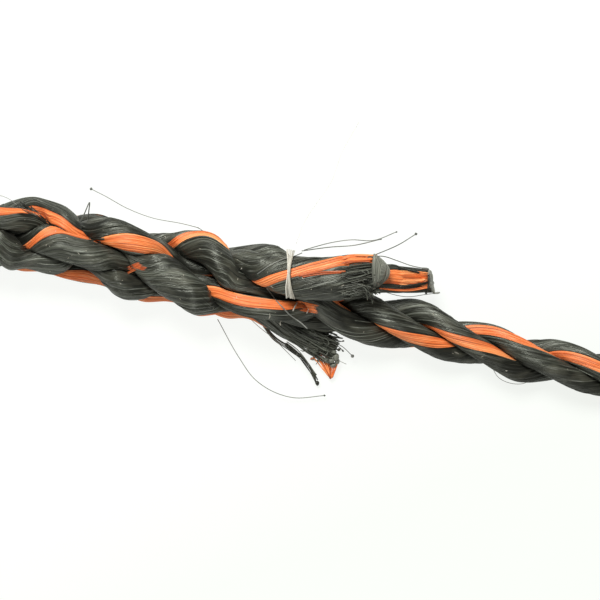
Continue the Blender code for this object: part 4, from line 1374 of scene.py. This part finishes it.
@dataclass
class FrayedTail:
    """The end of a tucked strand, where its filaments part, stray and curl."""
    strand: Strand
    rings: int = 16
    measured: int = 44            # sections over the length that frays
    spacing: float = 0.30         # width of outline for each filament
    layers: tuple = ((1.0, 1.0), (0.80, 0.55), (0.55, 0.35))    # depth and share of the filaments
    outer_half: tuple[float, float] = (0.11, 0.19)    # least and most half width at the surface
    inner_half: tuple[float, float] = (0.12, 0.2)
    past: float = 0.35            # how far the longest filament passes the solid's end
    curl_step: float = 0.75
    bead_share: float = 0.18      # share of the filaments that end in a bead, and its size
    bead_size: float = 1.7
    orange_tone: float = 0.52

    def __post_init__(self) -> None:
        """Read the strand's sections over the length that frays."""
        self.fray = FRAYS[self.strand.index]
        self.rng = draws(900 + self.strand.index)
        last = self.strand.last
        self.grid = np.linspace(last - 1.3 * self.fray.reach, last, self.measured)
        everyone = self.strand.lay.all_sections(self.grid)
        self.own = everyone[self.strand.key]
        half, gap = self.own.marker_half, self.strand.marker_gap
        self.charcoal_shell = self.shell(everyone, half, math.tau - half)
        self.orange_shell = self.shell(everyone, gap - half, half - gap)

    def shell(self, everyone: dict, low: np.ndarray, high: np.ndarray) -> Outline:
        """Filaments side by side round one part of the outline.

        Args:
            everyone: Sections of all strands.
            low: First direction, relative to the orange yarn.
            high: Last direction.

        Returns:
            Their directions and radii, one column for each.
        """
        length = self.strand.spaced(self.own, everyone, low, high, np.array([0.5])).length
        count = max(3, round(float(length[-8:].mean()) / self.spacing))
        return self.strand.spaced(self.own, everyone, low, high, (np.arange(count) + 0.5) / count)

    def along(self, stations: np.ndarray, values: np.ndarray) -> np.ndarray:
        """Values of the sections, one or two columns, read at other stations."""
        return np.stack([np.interp(stations, self.grid, row) for row in values.T], axis=-1)

    def route(self, shell: Outline, number: int, depth: float) -> tuple[np.ndarray, np.ndarray]:
        """Path of one filament from where it leaves the strand to its tip.

        Args:
            shell: The part of the outline it belongs to.
            number: Its place round the outline.
            depth: How deep it lies, 1 at the surface.

        Returns:
            Points in rope millimetres and the progress at each, from 0 to 1.
        """
        fray, rng, last = self.fray, self.rng, self.strand.last
        first = last - fray.reach * rng.uniform(0.62, 1.3)
        final = last + self.past - fray.uneven * rng.beta(1.0, 2.2)
        share = np.linspace(0.0, 1.0, self.rings)
        stations = first + (final - first) * share
        turn = np.interp(stations, self.grid, shell.turns[:, number])
        radius = np.interp(stations, self.grid, shell.radii[:, number])
        sunk = 0.26 - 0.16 * np.clip(share / 0.25, 0.0, 1.0)
        radius = np.maximum(radius * depth - sunk, 0.1)
        slope = (self.own.centre[-1] - self.own.centre[-6]) / (self.grid[-1] - self.grid[-6])
        past = np.maximum(stations - last, 0.0)[:, None]
        centre = self.along(stations, self.own.centre) + past * slope
        offset = radius[:, None] * np.stack([np.cos(turn), np.sin(turn)], axis=1)
        slant = (offset * self.along(stations, self.own.skew)).sum(axis=1)
        path = np.column_stack([stations + slant, centre + offset])
        phase, amount = rng.uniform(0, math.tau, (2, 3)), rng.normal(0.0, 1.0, (2, 3))
        stray = (amount[0] * np.sin(3.0 * share[:, None] + phase[0])
                 + 0.5 * amount[1] * np.sin(8.0 * share[:, None] + phase[1]))
        path += fray.wander * share[:, None] ** 1.6 * stray * np.array([0.3, 0.8, 0.6])
        return path, share

    def curl(self, path: np.ndarray) -> None:
        """Bend the tip of a filament round, as one that has slackened does.

        Args:
            path: The filament's points, which are moved.
        """
        rng, count = self.rng, len(path)
        first = int(count * rng.uniform(0.55, 0.85))
        direction = path[first] - path[first - 1]
        axis = np.array([rng.normal(0, 0.4), rng.normal(0, 0.7), rng.normal(0, 0.5)
                         + 1.4 * self.fray.sideways])
        axis -= direction * (axis @ direction) / (direction @ direction)
        axis /= np.linalg.norm(axis) + 1e-9
        angle = math.radians(self.fray.bend * rng.uniform(0.5, 1.3)) / (count - first)
        for index in range(first, count):
            direction = direction * math.cos(angle) + np.cross(axis, direction) * math.sin(angle)
            path[index] = path[index - 1] + direction * self.curl_step

    def gathered(self, shell: Outline, bright: float) -> Threads:
        """All filaments of one part of the outline.

        Args:
            shell: The part of the outline.
            bright: Brightness that its filaments lie round.

        Returns:
            Their mesh data.
        """
        threads, rng, columns = Threads(), self.rng, shell.turns.shape[1]
        for depth, portion in self.layers:
            count = max(round(columns * portion), 2)
            for number in np.linspace(0, columns - 1, count).round().astype(int):
                path, share = self.route(shell, number, depth)
                if rng.random() < self.fray.curled:
                    self.curl(path)
                half = np.full(self.rings,
                               rng.uniform(*(self.outer_half if depth == 1.0 else self.inner_half)))
                half[0] *= 0.6
                half[-1] *= 0.55
                if rng.random() < self.bead_share:
                    half[-3:] *= self.bead_size
                own = rng.normal(bright, 0.2)
                tone = np.clip(own + 0.12 * np.sin(5 * share + rng.uniform(0, 6)), 0.02, 1.0)
                # painted shade: filaments that lie deeper in the bundle are made darker
                threads.tube(path, half, tone - 0.25 * (1 - depth))
        return threads

    def build(self, charcoal: Look, orange: Look) -> list[bpy.types.Object]:
        """Make the parted filaments, charcoal and orange.

        Args:
            charcoal: Finish of the charcoal filaments.
            orange: Finish of the orange ones.

        Returns:
            The two new pieces.
        """
        return [self.gathered(shell, bright).piece(f"{name}_{self.strand.index + 1}", look)
                for shell, bright, name, look in (
                    (self.charcoal_shell, self.fray.bright, "frayed_filaments", charcoal),
                    (self.orange_shell, self.orange_tone, "frayed_orange", orange))]


@dataclass(frozen=True)
class FusedEnds:
    """Where the heat of cutting has melted filaments together at the tails."""
    fused: Look
    fan_filaments: int = 17
    fan_lump: tuple = ((83.8, 11.1, 16.4), (1.4, 2.5, 1.5))
    rim: tuple = ((-0.1, 0.0, 0.15, 0.3, 0.42, 0.5, 0.55),      # places past the strand's end
                  (0.86, 0.94, 0.98, 0.98, 0.93, 0.82, 0.6))    # size of the rim at each
    rim_points: int = 40
    rim_waves: tuple = (2, 3, 5, 9, 14)
    melted: tuple = (                                           # centre and half sizes of each lump
        ((77.6, -10.4, 2.6), (0.9, 0.7, 0.6)), ((78.6, -9.4, 2.4), (0.7, 0.8, 0.7)),
        ((78.4, -11.3, 2.0), (0.8, 0.6, 0.6)), ((76.6, -10.6, 2.8), (0.6, 0.5, 0.4)),
        ((79.1, -10.4, 1.8), (0.5, 0.7, 0.6)), ((77.9, -8.4, 3.1), (0.6, 0.5, 0.5)),
        ((73.6, -11.0, 1.7), (0.5, 0.35, 0.4)), ((78.9, -7.7, 2.6), (0.35, 0.4, 0.5)))

    def fan(self) -> bpy.types.Object:
        """The leaf-shaped fan of flattened filaments over the first tail's cut face.

        Returns:
            The new piece.
        """
        threads, rng = Threads(), draws(41)
        t = np.linspace(0.0, 1.0, 14)[:, None]
        half = 0.11 + 0.11 * np.sin(math.pi * t[:, 0]) ** 0.7
        for share in np.linspace(0.0, 1.0, self.fan_filaments):
            route = np.array([[81.8 + 0.4 * share, 14.7 - 0.2 * share, 18.6 - 1.4 * share],
                              [82.2 + 3.7 * share, 11.2 + 0.6 * share, 19.0 - 3.8 * share ** 1.4],
                              [83.4 + 1.0 * share, 7.9 + 0.3 * share, 17.6 - 2.6 * share]])
            route += rng.normal(0.0, 0.07, (3, 3))
            route[2, 1] += rng.normal(0.0, 0.3)
            bow = 2 * route[1] - 0.5 * (route[0] + route[2])
            path = (1 - t) ** 2 * route[0] + 2 * t * (1 - t) * bow + t ** 2 * route[2]
            tone = float(np.clip(rng.normal(0.58, 0.22), 0.05, 1.0)) - 0.35 * t[:, 0] ** 3
            threads.tube(path, half, tone, sides=6)
        threads.lump(*self.fan_lump, rng, 0.35)
        return threads.piece("fused_fan_1", self.fused)

    def cap(self, strand: Strand) -> bpy.types.Object:
        """The melted rim that closes the second tail.

        Args:
            strand: The strand that it closes.

        Returns:
            The new piece.
        """
        threads, rng = Threads(), draws(42)
        places, scale = np.array(self.rim)
        stations = strand.last + places
        everyone = strand.lay.all_sections(np.minimum(stations, strand.last))
        own = everyone[strand.key]
        shares = np.arange(self.rim_points) / self.rim_points
        none = np.zeros(len(stations))
        turns, radii, length = strand.spaced(own, everyone, none, none + math.tau, shares)
        uneven = sum(0.05 * np.sin(math.tau * waves * shares + rng.uniform(0, 6))
                     for waves in self.rim_waves)
        rings = strand.place(stations, own, turns, (radii + uneven[None]) * scale[:, None])
        rings[..., 0] += uneven[None]
        tones = 0.45 + 1.8 * uneven[None] + rng.normal(0, 0.05, rings.shape[:2])
        threads.loft(rings, tones, paired(stations[:, None], shares[None] * length[:, None]))
        return threads.piece("fused_cap_2", self.fused)

    def lumps(self) -> bpy.types.Object:
        """The melted lumps among the third tail's curls.

        Returns:
            The new piece.
        """
        threads, rng = Threads(), draws(43)
        for centre, size in self.melted:
            threads.lump(centre, size, rng, rng.uniform(0.2, 0.55))
        return threads.piece("fused_lumps_3", self.fused)


# --- loose fibres -------------------------------------------------------------------------------

@dataclass(frozen=True)
class LooseFibres:
    """The loose yarns, stray fibres, pale threads and hairs round the rope."""
    charcoal: Look
    orange: Look
    grey: Look
    pale: Look
    yarn_filaments: int = 5
    tuft_filaments: int = 24
    ribbon_filaments: int = 8
    yarn_tip: tuple = ((0.1, -0.15, 0.0), (0.45, 0.5, 0.45))    # place past its end, and half sizes
    hair_half: float = 0.045
    bead_profile: tuple = (0.75, 1.0, 0.6)

    def stray(self, index: int) -> bpy.types.Object:
        """One stray fibre with a melted bead at its tip.

        Args:
            index: The fibre.

        Returns:
            The new piece.
        """
        fibre, threads = STRAY_FIBRES[index], Threads()
        threads.tube(fibre_route(fibre.points, 8), fibre.half_width, fibre.tone, sides=6)
        threads.lump(fibre.points[fibre.tip], (fibre.bead,) * 3, draws(60 + index), 0.15)
        return threads.piece(f"stray_filament_{index + 1}", self.grey, f"stray_fibre_{index + 1}")

    def yarn(self, index: int) -> bpy.types.Object:
        """One loose yarn: filaments that run together and splay, or the third tail's orange tuft.

        Args:
            index: The yarn.

        Returns:
            The new piece.
        """
        threads, rng = Threads(), draws(700 + index)
        route = fibre_route(LOOSE_YARNS[index], 8)
        orange = index == 2
        for _ in range(0 if orange else self.yarn_filaments):
            spread = route[:, 3:] * rng.uniform(-1.0, 1.0, (1, 3)) + rng.normal(0, 0.06, (1, 3))
            sway = 0.14 * np.sin(np.linspace(0, 5, len(route)) + rng.uniform(0, 6))[:, None]
            path = route[:, :3] + (spread + sway) * np.array([[0.5, 1.1, 0.6]])
            threads.tube(path, rng.uniform(0.10, 0.15), rng.uniform(0.1, 0.9))
        t = np.linspace(0.0, 1.0, 12)[:, None]
        for share in np.linspace(0.0, 1.0, self.tuft_filaments if orange else 0):
            base = np.array([73.4 + 5.9 * share, -9.9 - 1.4 * share, 1.7]) + rng.normal(0, 0.2, 3)
            tip = np.array([78.6, -14.4, 1.0]) + rng.normal(0, 0.16, 3)
            path = base + (tip - base) * t * rng.uniform(0.86, 1.0) + [0.0, -0.3, 0.5] * t * (1 - t)
            threads.tube(path, rng.uniform(0.12, 0.18), rng.uniform(0.2, 0.8))
        if index == 0:
            place, size = self.yarn_tip
            threads.lump(route[-1, :3] + np.array(place), size, rng, 0.3)
        return threads.piece(f"loose_filaments_{index + 1}",
                             self.orange if orange else self.charcoal, f"loose_yarn_{index + 1}")

    def pale_pieces(self) -> list[bpy.types.Object]:
        """The flat pale thread round the first tail and the faint hair that leaves it.

        Returns:
            The two new pieces.
        """
        ribbon, hair, rng = Threads(), Threads(), draws(61)
        route = fibre_route(PALE_THREAD, 10)
        waist = 0.45 + 0.75 * np.abs(np.linspace(-1.0, 1.0, len(route)))[:, None]
        for share in np.linspace(-1.0, 1.0, self.ribbon_filaments):
            beside = np.array([[0.92 * share, 0.12 * share, -0.1]])
            path = route[:, :3] + waist * route[:, 3:] * beside
            path += rng.normal(0, 0.05, (1, 3))
            ribbon.tube(path, 0.10, rng.uniform(0.25, 0.8), flatness=0.7)
        hair.tube(fibre_route(PALE_HAIR, 8), self.hair_half, 0.95)
        return [ribbon.piece("pale_ribbon", self.pale, "pale_thread"),
                hair.piece("pale_filament", self.pale, "pale_hair")]

    def hairs(self, lay: RopeLay, wanted: Sequence[Hair], name: str,
              look: Look) -> dict[int, list[bpy.types.Object]]:
        """Single hairs, one piece for those of each strand.

        Args:
            lay: The lay of the strands, which the draped hairs lie on.
            wanted: The hairs.
            name: Name of the pieces.
            look: Their finish.

        Returns:
            The pieces by strand.
        """
        made = {}
        for strand in sorted({hair.strand for hair in wanted}):
            threads = Threads()
            for hair in (hair for hair in wanted if hair.strand == strand):
                route = fibre_route(hair.points, 7)
                if hair.draped:
                    under = upper_side(lay, route[:, 0], route[:, 1])
                    carried = np.flatnonzero(under > 0.75 * under.max())
                    under = np.interp(np.arange(len(under)), carried, under[carried])
                    route[:, 2] += under + hair.half_width * 0.7
                half = np.full(len(route), hair.half_width)
                half[-3:] = np.maximum(half[-3:], hair.bead * np.array(self.bead_profile))
                threads.tube(route, half, hair.tone, sides=6)
            made[strand] = [threads.piece(f"{name}_{strand + 1}", look)]
        return made


def bundled(bundles: Sequence[Bundle]) -> list[Hair]:
    """The filaments of flat bundles, side by side.

    Args:
        bundles: The bundles.

    Returns:
        The filaments, as hairs draped over the rope.
    """
    rng, found = draws(91), []
    for bundle in bundles:
        start, end = np.array(bundle.start), np.array(bundle.end)
        along = (end - start) / np.linalg.norm(end - start)
        beside = np.array([-along[1], along[0]])
        tip = -0.22 + 0.5 * bundle.raised
        for share in np.linspace(-0.5, 0.5, bundle.count):
            first = start + beside * bundle.width * share + along * rng.uniform(-0.3, 0.3)
            last = end + beside * bundle.width * share * 0.8 + along * rng.uniform(-0.3, 0.2)
            middle = (first + last) / 2 + beside * rng.normal(0.0, 0.05)
            tone = float(np.clip(bundle.tone + rng.normal(0.0, 0.1), 0.0, 1.0))
            found.append(Hair(bundle.strand, 0.62 * bundle.width / bundle.count, tone, 0.0, True,
                              ((*first, tip), (*middle, -0.02 + bundle.raised), (*last, tip))))
    return found


def lint(lay: RopeLay, count: int = 110) -> list[Hair]:
    """Specks of lint and dirt caught on the rope's upper side.

    Args:
        lay: The lay of the strands.
        count: Places that are tried.

    Returns:
        The specks, as very short hairs.
    """
    rng = draws(77)
    places = np.column_stack([rng.uniform(0.0, 138.0, count), rng.uniform(-5.0, 10.0, count)])
    reach, turn = rng.uniform(0.1, 0.34, (count, 1)), rng.uniform(0.0, math.pi, count)
    step = reach * np.column_stack([np.cos(turn), np.sin(turn)])
    ends = np.stack([places - step, places, places + step])
    heights = upper_side(lay, ends[..., 0].ravel(), ends[..., 1].ravel()).reshape(3, -1)
    heights += np.array([[0.03], [0.08], [0.03]])
    carried = (heights.min(axis=0) > 4.0) & (np.ptp(heights, axis=0) < 0.4)
    return [Hair(0, float(rng.uniform(0.05, 0.08)), float(rng.uniform(0.0, 0.45)), 0.0, False,
                 tuple((*ends[k, number], heights[k, number]) for k in range(3)))
            for number in np.flatnonzero(carried)]


# --- studio -------------------------------------------------------------------------------------

@dataclass(frozen=True)
class Studio:
    """Pale floor, soft light and a camera that looks straight down."""
    centre: tuple[float, float] = (68.0, 1.24)    # middle of the view, along and across the rope
    width: float = 133.3                          # width of the view at mid height of the rope
    roll: float = math.atan2(133.5, 600)
    mid_height: float = 8.0
    distance: float = 1300.0
    sensor: float = 36.0
    floor_size: float = 20.0
    floor_colour: tuple = (0.115, 0.12, 0.113, 1.0)
    floor_glow: float = 0.90
    # painted shade: the floor's glow, from nearly white to darker and greener
    floor_shades: tuple = ((0.1, (0.985, 1.0, 0.975)), (0.95, (0.905, 0.93, 0.89)))
    shading: tuple = (10.0, -13.0, 0.0)           # direction in which the painted shade on the floor's glow deepens
    air: tuple = ((1.0, 1.0, 0.98, 1.0), 0.22)    # colour and strength of the light all round
    lights: tuple = (("key_light", (-0.33, 0.55, 0.95), 0.45, 18.0),    # place, size and power
                     ("fill_light", (0.1, -0.9, 0.5), 0.6, 3.5))

    def floor(self) -> None:
        """A pale floor that glows, with painted shade that darkens it towards one side."""
        bpy.ops.mesh.primitive_plane_add(size=self.floor_size, location=(0.0, 0.0, -0.0002))
        plane = bpy.context.object
        plane.name = "studio_floor"
        shader = Shader("studio_floor")
        across = shader.node("ShaderNodeVectorMath", operation="DOT_PRODUCT")
        shader.feed(shader.node("ShaderNodeTexCoord").outputs["Object"], across.inputs[0])
        shader.feed(self.shading, across.inputs[1])
        shade = shader.ramp(across.outputs["Value"], self.floor_shades)
        for source, name in ((self.floor_colour, "Base Color"), (0.9, "Roughness"),
                             (0.1, "Specular IOR Level"), (shade, "Emission Color"),
                             (self.floor_glow, "Emission Strength")):
            shader.feed(source, shader.principled.inputs[name])
        plane.data.materials.append(shader.material)

    def area(self, name: str, place: tuple[float, float, float], size: float, power: float) -> None:
        """A soft square light aimed at the rope.

        Args:
            name: Name of the light.
            place: Where it stands, in metres.
            size: Its side.
            power: Its power in watts.
        """
        data = bpy.data.lights.new(name, "AREA")
        data.shape, data.size, data.energy = "SQUARE", size, power
        lamp = bpy.data.objects.new(name, data)
        lamp.location = place
        x, y, z = -np.array(place) / np.linalg.norm(place)
        lamp.rotation_euler = (math.acos(-z), 0.0, math.atan2(y, x) - math.pi / 2)
        bpy.context.scene.collection.objects.link(lamp)

    def camera(self) -> None:
        """The camera, which looks straight down."""
        data = bpy.data.cameras.new("camera")
        data.sensor_width = self.sensor
        data.lens = self.sensor * (self.distance - self.mid_height) / self.width
        data.clip_start, data.clip_end = 0.05, 30.0
        camera = bpy.data.objects.new("camera", data)
        x, y, _ = to_metres((*self.centre, 0.0))
        camera.location = (x, y, self.distance * MM)
        camera.rotation_euler = (0.0, 0.0, self.roll)
        bpy.context.scene.collection.objects.link(camera)
        bpy.context.scene.camera = camera

    def build(self) -> None:
        """Make the floor, the lights and the camera."""
        self.floor()
        world = bpy.data.worlds.new("studio")
        world.use_nodes = True
        background = world.node_tree.nodes["Background"].inputs
        background["Color"].default_value, background["Strength"].default_value = self.air
        bpy.context.scene.world = world
        bpy.context.scene.view_settings.view_transform = "Standard"
        for light in self.lights:
            self.area(*light)
        self.camera()


def main() -> None:
    """Build the rope and its studio."""
    logging.basicConfig(level=logging.INFO, format="%(name)s: %(message)s")
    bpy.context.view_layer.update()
    bpy.ops.object.select_all(action="DESELECT")
    Studio().build()
    charcoal, orange, grey, pale, fused = (finish.make() for finish in
                                           (CHARCOAL, ORANGE, GREY_FIBRE, PALE_FIBRE, FUSED))
    lay = RopeLay()
    strands = [Strand(role, index, lay, step=0.55 if role is Role.STANDING else 0.5)
               for role in Role for index in range(3)]
    for strand in strands:
        strand.build(charcoal, orange)
    tails = {index: FrayedTail(strands[index]).build(charcoal, orange) for index in (3, 4, 5)}
    ends, loose = FusedEnds(fused), LooseFibres(charcoal, orange, grey, pale)
    fibres = [loose.stray(index) for index in range(len(STRAY_FIBRES))]
    yarns = [loose.yarn(index) for index in range(len(LOOSE_YARNS))]
    hairs = loose.hairs(lay, HAIRS, "single_hairs", grey)
    ticks = loose.hairs(lay, PALE_TICKS, "pale_ticks", pale)
    specks = loose.hairs(lay, lint(lay), "lint_specks", pale)
    scraps = loose.hairs(lay, (*ORANGE_SCRAPS, *bundled(ORANGE_BUNDLES)), "orange_scraps", orange)
    wisps = loose.hairs(lay, (*DARK_SCRAPS, *bundled(DARK_BUNDLES)), "dark_scraps", charcoal)
    owned = {0: [fibres[1]], 2: [fibres[0]], 3: [*fibres[2:], *loose.pale_pieces(), ends.fan()],
             4: [ends.cap(strands[4])], 5: [*yarns, ends.lumps()]}
    for index, strand in enumerate(strands):
        strand.declare([piece for made in (owned, tails, hairs, ticks, scraps, wisps, specks)
                        for piece in made.get(index, [])])


if __name__ == "__main__":
    main()
